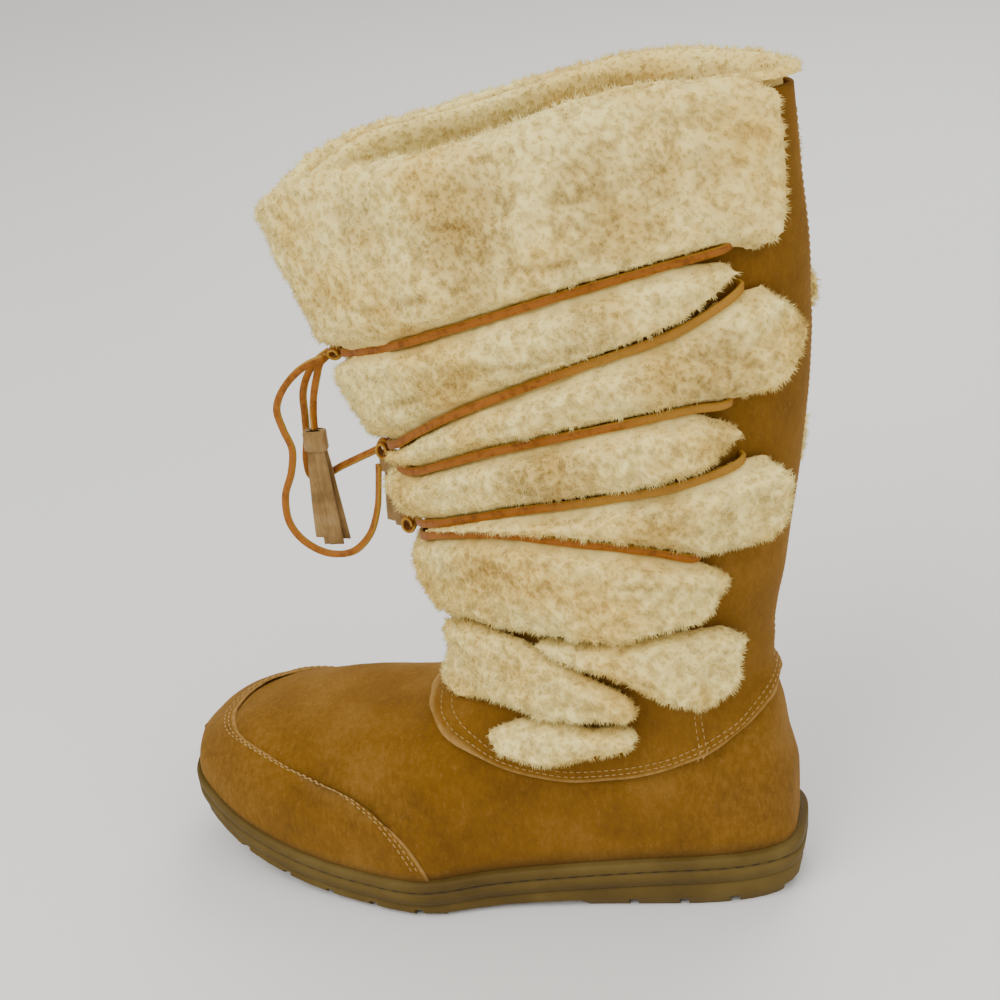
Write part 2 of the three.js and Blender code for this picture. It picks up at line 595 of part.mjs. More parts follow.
const suede = new THREE.MeshStandardMaterial({ color: 0x8f5f1c, roughness: 0.95, metalness: 0 });
const suedeLeg = new THREE.MeshStandardMaterial({ color: 0x8a6220, roughness: 0.95, metalness: 0 });
const fleece = new THREE.MeshStandardMaterial({ color: 0xd8c79a, roughness: 1, metalness: 0 });
const rubber = new THREE.MeshStandardMaterial({ color: 0x8a7442, roughness: 0.6, metalness: 0 });
const treadRubber = new THREE.MeshStandardMaterial({ color: 0x7c6a3c, roughness: 0.65, metalness: 0 });
const leather = new THREE.MeshStandardMaterial({ color: 0xa8641e, roughness: 0.7, metalness: 0 });
const tasselLeather = new THREE.MeshStandardMaterial({ color: 0x9c7a4c, roughness: 0.85, metalness: 0 });

const boot = new THREE.Group();
function add(name, geometry, material) {
  geometry.computeVertexNormals();
  const mesh = new THREE.Mesh(geometry, material);
  mesh.name = name;
  boot.add(mesh);
}

add('outsole', outsole(), treadRubber);
add('midsole', midsole(), rubber);
add('insole', insole(), fleece);
add('upper', upper(), suede);
add('shaft', shaft(), suedeLeg);
for (const [name, band] of Object.entries(bands)) add(name, fleeceBand(band), fleece);
for (const [name, lobe] of Object.entries(lobes)) {
  const rounded = 14;
  add(name + '_outer', fleeceBand({ ...lobe, rounded }), fleece);
  add(name + '_inner', fleeceBand({ ...lobe, rounded, side: -1 }), fleece);
}
for (const [name, flap] of Object.entries(flaps)) {
  const high = (a) => Math.min(flap.high(a), hem(a) - hemGap);
  const shape = { ...flap, high, flange: [false, false], locks: 1.2, backing: 6, thick: fleeceThick * 0.85 };
  add(name + '_outer', fleeceBand(shape), fleece);
  add(name + '_inner', fleeceBand({ ...shape, side: -1 }), fleece);
}
for (const [name, pair] of Object.entries(lacePairs)) {
  add('lace_' + name, geometryOf(laceWrap(pair, 0, seam + laceThick)), leather);
  add('lace_knot_' + name, geometryOf(knot(pair, 0)), leather);
}
for (const [name, points] of Object.entries(cords)) add(name, cord(points), leather);
add('tassel_upper', tassel(cords.lace_end_upper, 55, tasselStrips.upper, 8), tasselLeather);
add('tassel_lower', tassel(cords.lace_end_lower, 37, tasselStrips.lower, -12), tasselLeather);

export default boot;
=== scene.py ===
# A tall mukluk boot: suede foot and leg, sheepskin bands, a wrapped lace and two tassels
import math
import bpy
import bmesh
from mathutils import Vector, Matrix, noise
from mathutils.bvhtree import BVHTree


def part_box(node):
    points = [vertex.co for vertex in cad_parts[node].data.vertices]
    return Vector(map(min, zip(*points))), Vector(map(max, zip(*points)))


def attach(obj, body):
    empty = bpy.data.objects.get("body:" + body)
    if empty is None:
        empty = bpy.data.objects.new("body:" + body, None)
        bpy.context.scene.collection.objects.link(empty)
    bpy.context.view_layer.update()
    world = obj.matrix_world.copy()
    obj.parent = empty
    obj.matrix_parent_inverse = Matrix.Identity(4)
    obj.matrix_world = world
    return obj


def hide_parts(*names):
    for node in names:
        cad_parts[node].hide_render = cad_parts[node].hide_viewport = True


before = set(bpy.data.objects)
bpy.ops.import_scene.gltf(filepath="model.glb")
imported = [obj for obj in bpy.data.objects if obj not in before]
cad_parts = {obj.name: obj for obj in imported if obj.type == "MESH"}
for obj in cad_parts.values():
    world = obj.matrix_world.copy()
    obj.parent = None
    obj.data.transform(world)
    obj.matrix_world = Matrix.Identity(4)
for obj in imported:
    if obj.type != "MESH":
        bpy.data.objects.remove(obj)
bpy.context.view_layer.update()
scene = bpy.context.scene
mm = 0.001
weldGap = 0.02 * mm


def addPiece(name, data):
    piece = bpy.data.objects.new(name, data)
    scene.collection.objects.link(piece)
    return piece



# Camera, as the photo was taken: from the toe side, above, and a little rolled
cameraSet = {
    "distance": 844 * mm,
    "azimuth": 16.0,
    "elevation": 28.08,
    "target": Vector((-84.7, 0, 183.2)) * mm,
    "roll": -6.24,
    "view": 28.03,
}


def placeCamera(c):
    az, el = math.radians(c["azimuth"]), math.radians(c["elevation"])
    away = Vector((math.sin(az) * math.cos(el), -math.cos(az) * math.cos(el), math.sin(el)))
    right = Vector((0, 0, 1)).cross(away).normalized()
    up = away.cross(right)
    roll = math.radians(c["roll"])
    across = right * math.cos(roll) + up * math.sin(roll)
    upright = up * math.cos(roll) - right * math.sin(roll)
    data = bpy.data.cameras.new("camera")
    data.angle = math.radians(c["view"])
    data.clip_start = 0.01
    camera = addPiece("camera", data)
    place = c["target"] + away * c["distance"]
    rows = [[across[i], upright[i], away[i], place[i]] for i in range(3)]
    camera.matrix_world = Matrix(rows + [[0, 0, 0, 1]])
    scene.camera = camera


placeCamera(cameraSet)


# Small helpers
def mix(a, b, k):
    return a + (b - a) * k


def clamp(v, low=0.0, high=1.0):
    return min(high, max(low, v))


def ease(v):
    v = clamp(v)
    return v * v * (3 - 2 * v)


def along(rows, at):
    # smooth value of a two-column table at a position
    if at <= rows[0][0]:
        return rows[0][1]
    if at >= rows[-1][0]:
        return rows[-1][1]
    i = next(k for k, row in enumerate(rows) if row[0] > at) - 1

    def slope(k):
        a, b = rows[max(k - 1, 0)], rows[min(k + 1, len(rows) - 1)]
        return (b[1] - a[1]) / (b[0] - a[0])

    span = rows[i + 1][0] - rows[i][0]
    t = (at - rows[i][0]) / span
    return ((1 + 2 * t) * (1 - t) ** 2 * rows[i][1] + t * (1 - t) ** 2 * span * slope(i)
            + t * t * (3 - 2 * t) * rows[i + 1][1] + t * t * (t - 1) * span * slope(i + 1))


def addMesh(name, points, faces):
    mesh = bpy.data.meshes.new(name)
    mesh.from_pydata(points, [], faces)
    mesh.validate()
    mesh.shade_smooth()
    return addPiece(name, mesh)


def newMark(piece, name):
    return piece.data.attributes.new(name, "FLOAT", "POINT")


def weld(piece, outward=True):
    # closes the seams of a skin; a closed form also gets its normals outwards
    bm = bmesh.new()
    bm.from_mesh(piece.data)
    bmesh.ops.remove_doubles(bm, verts=bm.verts, dist=weldGap)
    if outward:
        bmesh.ops.recalc_face_normals(bm, faces=bm.faces)
    bm.to_mesh(piece.data)
    bm.free()


def faceTo(piece, facing):
    # turns a skin round where most of it faces the wrong way
    weld(piece)
    if sum(facing(v) for v in piece.data.vertices) < 0:
        piece.data.flip_normals()


def loft(name, rings, capped=False):
    # skin over successive closed rings of points, in millimetres
    n = len(rings[0])
    points = [p * mm for ring in rings for p in ring]
    faces = [(i * n + j, i * n + (j + 1) % n, (i + 1) * n + (j + 1) % n, (i + 1) * n + j)
             for i in range(len(rings) - 1) for j in range(n)]
    if capped:
        last = (len(rings) - 1) * n
        faces += [tuple(range(n)), tuple(range(last, last + n))]
    piece = addMesh(name, points, faces)
    weld(piece)
    return piece


def sheetOf(name, rows):
    # an open skin over a grid of points, in millimetres
    n = len(rows[0])
    points = [p * mm for row in rows for p in row]
    faces = [(i * n + j, i * n + j + 1, (i + 1) * n + j + 1, (i + 1) * n + j)
             for i in range(len(rows) - 1) for j in range(n - 1)]
    return addMesh(name, points, faces)


def bakeDown(piece):
    # applies the piece's modifiers by taking the evaluated mesh
    graph = bpy.context.evaluated_depsgraph_get()
    mesh = bpy.data.meshes.new_from_object(piece.evaluated_get(graph))
    old = piece.data
    piece.modifiers.clear()
    if piece.type == "MESH":
        piece.data = mesh
        bpy.data.meshes.remove(old)
        return piece
    made = addPiece(piece.name, mesh)
    name = piece.name
    bpy.data.objects.remove(piece)
    made.name = name
    return made


def copyOfNode(node, name):
    piece = addPiece(name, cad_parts[node].data.copy())
    piece.data.materials.clear()
    weld(piece, outward=False)
    return piece


def evenly(piece, size):
    # a remesh with faces of one size
    even = piece.modifiers.new("even", "REMESH")
    even.mode = "VOXEL"
    even.voxel_size = size
    return piece


def walled(piece):
    # gives a skin the suede's thickness, inwards
    wall = piece.modifiers.new("wall", "SOLIDIFY")
    wall.thickness = footSet["wall"] * mm
    wall.offset = -1
    bakeDown(piece)
    piece.data.shade_smooth()


def settle(piece, material, slot, *nodes):
    if material is not None:
        piece.data.materials.clear()
        piece.data.materials.append(material)
    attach(piece, "root")
    if nodes:
        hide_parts(*nodes)


# Material building blocks
class Nodes:
    def __init__(self, name):
        self.material = bpy.data.materials.new(name)
        self.material.use_nodes = True
        self.tree = self.material.node_tree
        self.tree.nodes.clear()
        self.out = self.add("ShaderNodeOutputMaterial")
        self.shader = self.add("ShaderNodeBsdfPrincipled")
        self.link(self.shader.outputs[0], self.out.inputs[0])
        self.place = self.add("ShaderNodeTexCoord").outputs["Object"]

    def add(self, kind, **values):
        node = self.tree.nodes.new(kind)
        for key, value in values.items():
            setattr(node, key, value)
        return node

    def link(self, a, b):
        self.tree.links.new(a, b)

    def noise(self, scale, detail=4.0, rough=0.55, stretch=None):
        node = self.add("ShaderNodeTexNoise")
        node.inputs["Scale"].default_value = scale
        node.inputs["Detail"].default_value = detail
        node.inputs["Roughness"].default_value = rough
        vector = self.place
        if stretch:
            mapping = self.add("ShaderNodeMapping")
            mapping.inputs["Scale"].default_value = stretch
            self.link(vector, mapping.inputs[0])
            vector = mapping.outputs[0]
        self.link(vector, node.inputs["Vector"])
        return node.outputs[0]

    def ramp(self, source, stops):
        node = self.add("ShaderNodeValToRGB")
        ramp = node.color_ramp
        while len(ramp.elements) < len(stops):
            ramp.elements.new(0.5)
        for element, (at, color) in zip(ramp.elements, stops):
            element.position = at
            element.color = (*color, 1)
        self.link(source, node.inputs[0])
        return node.outputs[0]

    def nap(self, source, s):
        return self.ramp(source, [(0.34, s["deep"]), (0.5, s["plain"]), (0.68, s["pale"])])

    def span(self, source, a, b, low=0.0, high=1.0):
        node = self.add("ShaderNodeMapRange", interpolation_type="SMOOTHSTEP")
        for key, value in (("From Min", a), ("From Max", b), ("To Min", low), ("To Max", high)):
            node.inputs[key].default_value = value
        self.link(source, node.inputs["Value"])
        return node.outputs[0]

    def math(self, kind, a, b=None):
        node = self.add("ShaderNodeMath", operation=kind)
        for socket, value in zip(node.inputs, (a, b)):
            if value is None:
                continue
            if isinstance(value, (int, float)):
                socket.default_value = value
            else:
                self.link(value, socket)
        return node.outputs[0]

    def times(self, a, b):
        return self.math("MULTIPLY", a, b)

    def blend(self, factor, a, b):
        node = self.add("ShaderNodeMix", data_type="RGBA")
        for socket, value in ((node.inputs[0], factor), (node.inputs[6], a), (node.inputs[7], b)):
            if isinstance(value, (int, float)):
                socket.default_value = value
            elif isinstance(value, tuple):
                socket.default_value = (*value, 1)
            else:
                self.link(value, socket)
        return node.outputs[2]

    def attribute(self, name):
        node = self.add("ShaderNodeAttribute", attribute_name=name)
        return node.outputs["Fac"]

    def near(self, point, radius, soft):
        # 1 at a point of the boot (millimetres), falling to 0 at radius
        node = self.add("ShaderNodeVectorMath", operation="DISTANCE")
        self.link(self.place, node.inputs[0])
        node.inputs[1].default_value = Vector(point) * mm
        return self.span(node.outputs["Value"], (radius - soft) * mm, radius * mm, 1.0, 0.0)

    def bump(self, height, strength, distance):
        node = self.add("ShaderNodeBump")
        node.inputs["Strength"].default_value = strength
        node.inputs["Distance"].default_value = distance
        self.link(height, node.inputs["Height"])
        return node.outputs[0]

    def finish(self, color, rough, normal=None, sheen=0.0, tint=(1, 1, 1), specular=0.3):
        self.link(color, self.shader.inputs["Base Color"])
        if isinstance(rough, (int, float)):
            self.shader.inputs["Roughness"].default_value = rough
        else:
            self.link(rough, self.shader.inputs["Roughness"])
        if normal is not None:
            self.link(normal, self.shader.inputs["Normal"])
        self.shader.inputs["Sheen Weight"].default_value = sheen
        self.shader.inputs["Sheen Roughness"].default_value = 0.6
        self.shader.inputs["Sheen Tint"].default_value = (*tint, 1)
        self.shader.inputs["Specular IOR Level"].default_value = specular
        return self.material


# Suede: golden brown nap with pale flecks, rubbed paler at the toe and heel and along raw edges
suedeSet = {
    "deep": (0.105, 0.043, 0.003),
    "plain": (0.165, 0.072, 0.005),
    "pale": (0.235, 0.115, 0.018),
    "raw": (0.36, 0.21, 0.065),
    "rubbed": [((-228, -20, 55), 60, 50), ((20, -40, 60), 55, 45), ((-150, -50, 60), 40, 36)],
}


def makeSuede(name, s, lighter=0.0):
    m = Nodes(name)
    patches = m.noise(30, 5, 0.55)
    strokes = m.noise(420, 4, 0.7, stretch=(1.0, 1.0, 0.5))
    fibre = m.noise(1500, 3, 0.7)
    color = m.nap(m.blend(0.35, patches, strokes), s)
    for point, radius, soft in s["rubbed"]:
        worn = m.times(m.near(point, radius, soft), m.span(strokes, 0.42, 0.62, 0.1, 0.4))
        color = m.blend(worn, color, s["pale"])
    if lighter:
        color = m.blend(lighter, color, s["pale"])
    flecks = m.noise(700, 2, 0.5, stretch=(1.0, 1.0, 0.4))
    color = m.blend(m.span(flecks, 0.60, 0.75, 0.0, 0.16), color, s["raw"])
    color = m.blend(m.span(fibre, 0.35, 0.65, 0.0, 0.3), color, s["deep"])
    edge = m.times(m.attribute("edge"), m.span(strokes, 0.3, 0.6, 0.5, 0.95))
    color = m.blend(edge, color, s["raw"])
    height = m.math("ADD", m.times(fibre, 0.6), m.times(strokes, 0.7))
    return m.finish(color, 0.92, m.bump(height, 0.5, 0.5 * mm), sheen=0.15, tint=(0.9, 0.55, 0.2),
                    specular=0.1)


# Fleece: warm cream with clouds of tan and tan stains, with painted shade between the curls, in the
# partings, low in the coat and towards the fibres' roots
fleeceSet = {
    # root: the colour of the painted shade in the wool, between curls, in partings and low in the coat
    "root": (0.38, 0.225, 0.052),
    "stain": (0.40, 0.235, 0.050),
    "tan": (0.60, 0.38, 0.095),
    "cream": (0.90, 0.67, 0.205),
    "white": (0.99, 0.84, 0.33),
}


def makeFleece(name, f):
    m = Nodes(name)
    curls = m.noise(420, 4, 0.6)
    drift = m.noise(26, 4, 0.55)
    color = m.ramp(drift, [(0.22, f["tan"]), (0.38, f["cream"]), (0.56, f["white"])])
    stain = m.times(m.attribute("stain"), m.span(curls, 0.35, 0.65, 1.0, 0.7))
    color = m.blend(stain, color, f["stain"])
    color = m.blend(m.span(curls, 0.38, 0.56, 0.10, 0.0), color, f["tan"])
    # painted shade between the curls, from the curl distance
    color = m.blend(m.span(m.attribute("dip"), 0.30, 0.62, 0.0, 0.24), color, f["root"])
    # painted shade along the partings
    color = m.blend(m.times(m.attribute("parting"), 0.5), color, f["root"])
    # painted shade low in the coat, near the suede
    color = m.blend(m.span(m.attribute("depth"), 0.15, 0.6, 0.35, 0.0), color, f["root"])
    # painted shade: tan towards each fibre's root
    color = m.blend(m.span(m.attribute("tip"), 0.0, 0.7, 0.14, 0.0), color, f["tan"])
    height = m.blend(0.4, curls, m.noise(1100, 3, 0.7))
    return m.finish(color, 0.95, m.bump(height, 0.4, 1.0 * mm), sheen=0.05, tint=(1, 0.88, 0.6),
                    specular=0.04)


# Rubber of the sole: matte tan, a little dusty
rubberSet = {
    "base": (0.100, 0.062, 0.012),
    "dust": (0.138, 0.092, 0.024),
    "dark": (0.072, 0.043, 0.008),
}


def makeRubber(name, r):
    m = Nodes(name)
    cloud = m.noise(28, 5, 0.55)
    grain = m.noise(1500, 2, 0.6)
    color = m.ramp(cloud, [(0.3, r["dark"]), (0.5, r["base"]), (0.72, r["dust"])])
    rough = m.span(cloud, 0.3, 0.7, 0.55, 0.75)
    return m.finish(color, rough, m.bump(grain, 0.25, 0.3 * mm), specular=0.15)


# Lace leather: orange-brown grain on the flat, golden flesh on the cut edges and where it turns over
laceSet = {
    "grain": (0.29, 0.098, 0.009),
    "shade": (0.18, 0.056, 0.005),
    "edge": (0.38, 0.21, 0.025),
}


def makeLace(name, s):
    m = Nodes(name)
    wear = m.noise(260, 5, 0.65)
    pores = m.noise(1600, 2, 0.6)
    color = m.ramp(wear, [(0.36, s["shade"]), (0.5, s["grain"])])
    gold = m.times(m.attribute("edge"), m.span(pores, 0.3, 0.55, 0.7, 1.0))
    color = m.blend(gold, color, s["edge"])
    height = m.math("ADD", m.times(pores, 0.5), wear)
    return m.finish(color, 0.6, m.bump(height, 0.35, 0.3 * mm), specular=0.2)


tasselSet = {"deep": (0.13, 0.068, 0.020), "plain": (0.235, 0.135, 0.045), "pale": (0.33, 0.21, 0.085)}


def makeTassel(name, s):
    m = Nodes(name)
    nap = m.noise(500, 5, 0.7, stretch=(1, 1, 0.3))
    patch = m.noise(90, 3, 0.5)
    color = m.nap(m.blend(0.4, patch, nap), s)
    return m.finish(color, 0.9, m.bump(nap, 0.5, 0.4 * mm), sheen=0.25, tint=(1, 0.8, 0.5), specular=0.12)


threadSet = {"light": (0.42, 0.26, 0.085), "dark": (0.26, 0.145, 0.035)}
soleThreadSet = {"light": (0.060, 0.042, 0.014), "dark": (0.030, 0.020, 0.007)}


def makeThread(name, s):
    m = Nodes(name)
    twist = m.noise(1400, 2, 0.5)
    color = m.ramp(twist, [(0.35, s["dark"]), (0.6, s["light"])])
    return m.finish(color, 0.7, m.bump(twist, 0.5, 0.2 * mm))


suede = makeSuede("suede", suedeSet)
suedeLeg = makeSuede("suedeLeg", suedeSet, lighter=0.12)
fleece = makeFleece("fleece", fleeceSet)
rubber = makeRubber("rubber", rubberSet)
laceLeather = makeLace("laceLeather", laceSet)
tasselSuede = makeTassel("tasselSuede", tasselSet)
thread = makeThread("thread", threadSet)
soleThread = makeThread("soleThread", soleThreadSet)
print("materials ready")

# The free lengths of the lace, at the same points as the solid cords
cordRoutes = {
    "laceLoopOuter": {
        "node": "lace_loop_outer",
        "points": [(-152.1, -3.6, 250), (-158, -4, 248), (-165, -4.5, 243.5), (-172.5, -5, 235),
                   (-176, -5, 226.5), (-174.5, -5, 217), (-172, -5, 208), (-174, -5, 197),
                   (-178.5, -5, 185), (-178.5, -5, 172), (-173, -5, 163), (-163, -5, 157.5),
                   (-152, -5, 158.5), (-143, -5, 167), (-138, -4.5, 179.5), (-136, -3.8, 192),
                   (-135, -3.6, 200.6)],
        "end": "object",
    },
    "laceLoopInner": {
        "node": "lace_loop_inner",
        "points": [(-152.1, 3.6, 250), (-157, 4, 246.5), (-163, 4.5, 239.5), (-167, 5, 230),
                   (-168, 5.5, 219), (-169, 6, 208), (-171, 6.5, 197), (-170, 7, 189), (-164, 7, 189.5),
                   (-155, 6.5, 194.5), (-145, 5, 200), (-137.4, 3.6, 204.2)],
        "end": "object",
    },
    "laceEndUpper": {
        "node": "lace_end_upper",
        "points": [(-151.8, 0, 249.6), (-155.5, 0, 246), (-158, 0, 239.5), (-160.5, 0, 231),
                   (-162, 0, 222.5), (-162.5, 0, 215.5)],
        "end": "fitting",
    },
    "laceEndLower": {
        "node": "lace_end_lower",
        "points": [(-133, 6.6, 205.5), (-134, 9.5, 204.5), (-134.8, 12, 202), (-135, 12.8, 199.5)],
        "end": None,
    },
}
cordSection = {"wide": 3.0, "thick": 1.9, "corner": 0.3}


def smoothRoute(points, pitch=0.9):
    # centripetal Catmull-Rom through the points, as the solid cords follow it
    pts = [Vector(p) for p in points]
    pts = [pts[0] * 2 - pts[1]] + pts + [pts[-1] * 2 - pts[-2]]
    route = []
    for i in range(1, len(pts) - 2):
        p = pts[i - 1:i + 3]
        t = [0.0]
        for a, b in zip(p, p[1:]):
            t.append(t[-1] + max((b - a).length, 1e-6) ** 0.5)
        steps = max(2, round((p[2] - p[1]).length / pitch))
        for k in range(steps):
            u = mix(t[1], t[2], k / steps)
            a1 = p[0].lerp(p[1], (u - t[0]) / (t[1] - t[0]))
            a2 = p[1].lerp(p[2], (u - t[1]) / (t[2] - t[1]))
            a3 = p[2].lerp(p[3], (u - t[2]) / (t[3] - t[2]))
            b1 = a1.lerp(a2, (u - t[0]) / (t[2] - t[0]))
            b2 = a2.lerp(a3, (u - t[1]) / (t[3] - t[1]))
            route.append(b1.lerp(b2, (u - t[1]) / (t[2] - t[1])))
    route.append(pts[-2])
    return route


cutCorners = (0, 1, 4, 5)


def strapAlong(name, route, wide, thick, corner, twist=lambda k: 0.0, side=Vector((0, 1, 0))):
    # a flat strap swept along a route; the cut edges carry the attribute "edge"
    c = corner
    w, h = wide / 2, thick / 2
    outline = [(-w, -h + c), (-w, h - c), (-w + c, h), (w - c, h),
               (w, h - c), (w, -h + c), (w - c, -h), (-w + c, -h)]
    rings = []
    for i, p in enumerate(route):
        ahead = (route[min(i + 1, len(route) - 1)] - route[max(i - 1, 0)]).normalized()
        flat = (side - ahead * side.dot(ahead)).normalized()
        flat = Matrix.Rotation(math.radians(twist(i / (len(route) - 1))), 3, ahead) @ flat
        up = ahead.cross(flat)
        rings.append([p + flat * a + up * b for a, b in outline])
    piece = loft(name, rings, capped=True)
    for i, mark in enumerate(newMark(piece, "edge").data):
        mark.value = 1.0 if i % len(outline) in cutCorners else 0.0
    return piece


cordPieces = {}
for cordName, c in cordRoutes.items():
    route = smoothRoute(c["points"])
    piece = strapAlong(cordName, route, cordSection["wide"], cordSection["thick"], cordSection["corner"],
                       twist=lambda k: 70 + 30 * math.sin(5 * k))
    settle(piece, laceLeather, "lace_leather", c["node"])
    cordPieces[cordName] = (piece, route)
print("cords laid")

# The foot: the same last as the solids, in shares of its named sizes
footSet = {
    "length": 285, "heelBack": 40, "ball": 112, "heelHigh": 27, "foreHigh": 20.5, "spring": 22.5,
    "instep": 100, "lip": 3.5, "wall": 2.4, "seam": 0.4, "cap": 1.3,
    "heelBlunt": 0.52, "toeBlunt": 0.64, "arch": 0.8,
    "half": [(0, .375), (.025, .378), (.05, .38), (.1, .385), (.25, .385), (.38, .39), (.47, .42),
             (.58, .49), (.7, .51), (.82, .516), (.9, .519), (.96, .513), (1, .505)],
    "centre": [(0, 0), (.025, 0), (.05, 0), (.1, 0), (.25, 0), (.38, -.015), (.47, -.02), (.58, -.032),
               (.7, .017), (.82, .048), (.9, .068), (.96, .08), (1, .06)],
    "capSeam": [(0, .564), (14, .606), (27, .672), (37, .772), (45, .839), (52, .886), (60, .911),
                (75, .928), (88, .93), (99, .908), (112, .865), (135, .785), (155, .68), (180, .564)],
    "ridge": [(0, .62), (.025, .95), (.05, 1.1), (.1, 1.2), (.25, 1.22), (.38, 1.17), (.47, 1.05),
              (.58, .91), (.7, .845), (.82, .77), (.9, .717), (.96, .62), (1, .53)],
}


def plan(s, inset, f=footSet):
    blunt = mix(f["heelBlunt"], f["toeBlunt"], ease(s))
    closing = (2 * math.sqrt(clamp(s * (1 - s), 0, 0.25))) ** blunt
    x = f["heelBack"] - inset - (f["length"] - 2 * inset) * s
    return x, along(f["centre"], s) * f["ball"], (along(f["half"], s) * f["ball"] - inset) * closing


def stationOf(x, f=footSet):
    return (f["heelBack"] - x) / f["length"]


def spring(s, f=footSet):
    return f["spring"] * clamp((s - 0.68) / 0.32) ** 1.8


def soleTop(s, f=footSet):
    return mix(f["heelHigh"], f["foreHigh"], ease((s - 0.12) / 0.46)) + spring(s)


def parting(s):
    return mix(13, 7, ease((s - 0.12) / 0.46)) + spring(s)


def signedPower(v, p):
    return math.copysign(abs(v) ** p, v)


def footPoint(s, angle, off, f=footSet):
    x, middle, half = plan(s, f["lip"] - off)
    low = soleTop(stationOf(x)) + f["seam"] * 0.3
    rise = along(f["ridge"], s) * f["instep"] + off - low
    c, q = math.cos(angle), max(math.sin(angle), 0)
    return Vector((x, middle - half * signedPower(c, f["arch"]), low + rise * q ** f["arch"]))


def stationsBetween(n, low=0.0, high=1.0):
    a, b = math.acos(1 - 2 * low), math.acos(1 - 2 * high)
    return [(1 - math.cos(mix(a, b, i / n))) / 2 for i in range(n + 1)]


# Soft dents and creases of a worn foot: place, reach along each axis and depth, in millimetres
creases = [
    ((-150, -48, 52), (26, 14, 9), 1.5),
    ((-132, -30, 84), (9, 26, 12), 1.3),
    ((-176, -38, 62), (12, 22, 10), 0.9),
    ((-60, -48, 48), (30, 12, 8), 1.2),
    ((-5, -40, 66), (14, 16, 18), 1.4),
    ((-210, 14, 72), (12, 20, 12), 1.0),
    ((-140, 40, 60), (20, 14, 10), 1.4),
    ((-50, 42, 52), (24, 12, 10), 1.2),
    ((30, 6, 72), (12, 22, 12), 1.0),
]


def creased(p, normal, amount=1.0):
    pull = 0.0
    for at, reach, deep in creases:
        pull += deep * math.exp(-sum(((p[i] - at[i]) / reach[i]) ** 2 for i in range(3)))
    wave = noise.noise(p * 0.045) * 0.9 + noise.noise(p * 0.12) * 0.28
    return p + normal * (wave * amount - pull)


def markEdge(piece, value):
    # a value between 0 and 1 for each corner, from its place in millimetres
    mark = newMark(piece, "edge")
    for v, m in zip(piece.data.vertices, mark.data):
        m.value = value(v.co / mm)


def pushNormals(piece, move):
    mesh = piece.data
    normals = [v.normal.copy() for v in mesh.vertices]
    for v, n in zip(mesh.vertices, normals):
        v.co = move(v.co / mm, n) * mm


footSteps = {"along": 150, "round": 72, "cut": 106, "cutFrom": -84}
arch = [math.pi * j / footSteps["round"] for j in range(footSteps["round"] + 1)]
foot = sheetOf("foot", [[footPoint(s, a, 0) for a in arch] for s in stationsBetween(footSteps["along"])])
faceTo(foot, lambda v: v.normal.z)
pushNormals(foot, lambda p, n: creased(p, n, clamp((p.z - 30) / 14)))
bm = bmesh.new()
bm.from_mesh(foot.data)
ankleFaces = [f for f in bm.faces if f.calc_center_median().x > footSteps["cutFrom"] * mm]
reached = list({part for f in ankleFaces for part in [*f.verts, *f.edges]}) + ankleFaces
bmesh.ops.bisect_plane(bm, geom=reached, plane_co=(0, 0, footSteps["cut"] * mm), plane_no=(0, 0, 1),
                       clear_outer=True)
bm.to_mesh(foot.data)
bm.free()
walled(foot)
settle(foot, suede, "suede", "upper")


def capSeam(angle, f=footSet):
    return along(f["capSeam"], math.degrees(angle))


def capRings():
    rings = []
    steps = 46
    profile = [(0, -0.4), (0, 0.75), (0.0018, 1.15)]       # station past the seam, height over the foot
    for a in arch:
        edge = capSeam(a)
        ring = [footPoint(clamp(edge + ds), a, off) for ds, off in profile]
        ring += [footPoint(s, a, footSet["cap"]) for s in stationsBetween(steps, clamp(edge + 0.005), 1)]
        ring += [footPoint(s, a, -0.4) for s in reversed(stationsBetween(6, clamp(edge + 0.005), 1))]
        rings.append(ring)
    return rings


toeCap = loft("toeCap", capRings(), capped=True)
pushNormals(toeCap, lambda p, n: creased(p, n, 0.7 * clamp((p.z - 30) / 14)))
seamRoute = [footPoint(capSeam(a), a, 0.8) for a in arch]
markEdge(toeCap, lambda p: clamp(1.6 - min((p - q).length for q in seamRoute)) * 0.8)
settle(toeCap, suede, "suede")
print("foot and toe cap made")

# The leg, in shares of its height, depth and width
legSet = {
    "height": 364, "deep": 198, "wide": 88, "drop": 54, "footBelow": 128, "fillet": 5,
    "back": [(.19, .15), (.29, .146), (.33, .145), (.38, .152), (.435, .172), (.58, .215), (.72, .24),
             (.77, .239), (.84, .238), (.92, .232), (1, .225)],
    "front": [(.19, -.53), (.29, -.52), (.33, -.51), (.38, -.525), (.435, -.555), (.58, -.61),
              (.72, -.7), (.77, -.723), (.84, -.765), (.92, -.79), (1, -.8)],
    "half": [(.19, .41), (.29, .41), (.33, .42), (.38, .425), (.435, .435), (.58, .47), (.72, .475),
             (.77, .456), (.84, .425), (.92, .36), (1, .28)],
    "lean": [(.19, 0), (.58, 0), (.72, 0), (.77, -.023), (.84, -.052), (.92, -.088), (1, -.13)],
    "skirt": [(0, 104), (18, 101), (33, 95), (45, 87), (57, 80), (72, 73.5), (90, 69.5), (104, 68),
              (114, 71), (122, 75), (132, 83.5), (142, 89.5), (156, 94), (180, 95)],
    "rim": [(0, 0), (60, 0), (75, .08), (90, .235), (105, .385), (120, .49), (135, .57), (150, .72),
            (180, 1)],
}


def legSection(z, g=legSet):
    at = z / g["height"]
    back, front = along(g["back"], at) * g["deep"], along(g["front"], at) * g["deep"]
    middle, half = along(g["lean"], at) * g["wide"], along(g["half"], at) * g["wide"]
    return (back + front) / 2, middle, (back - front) / 2, half


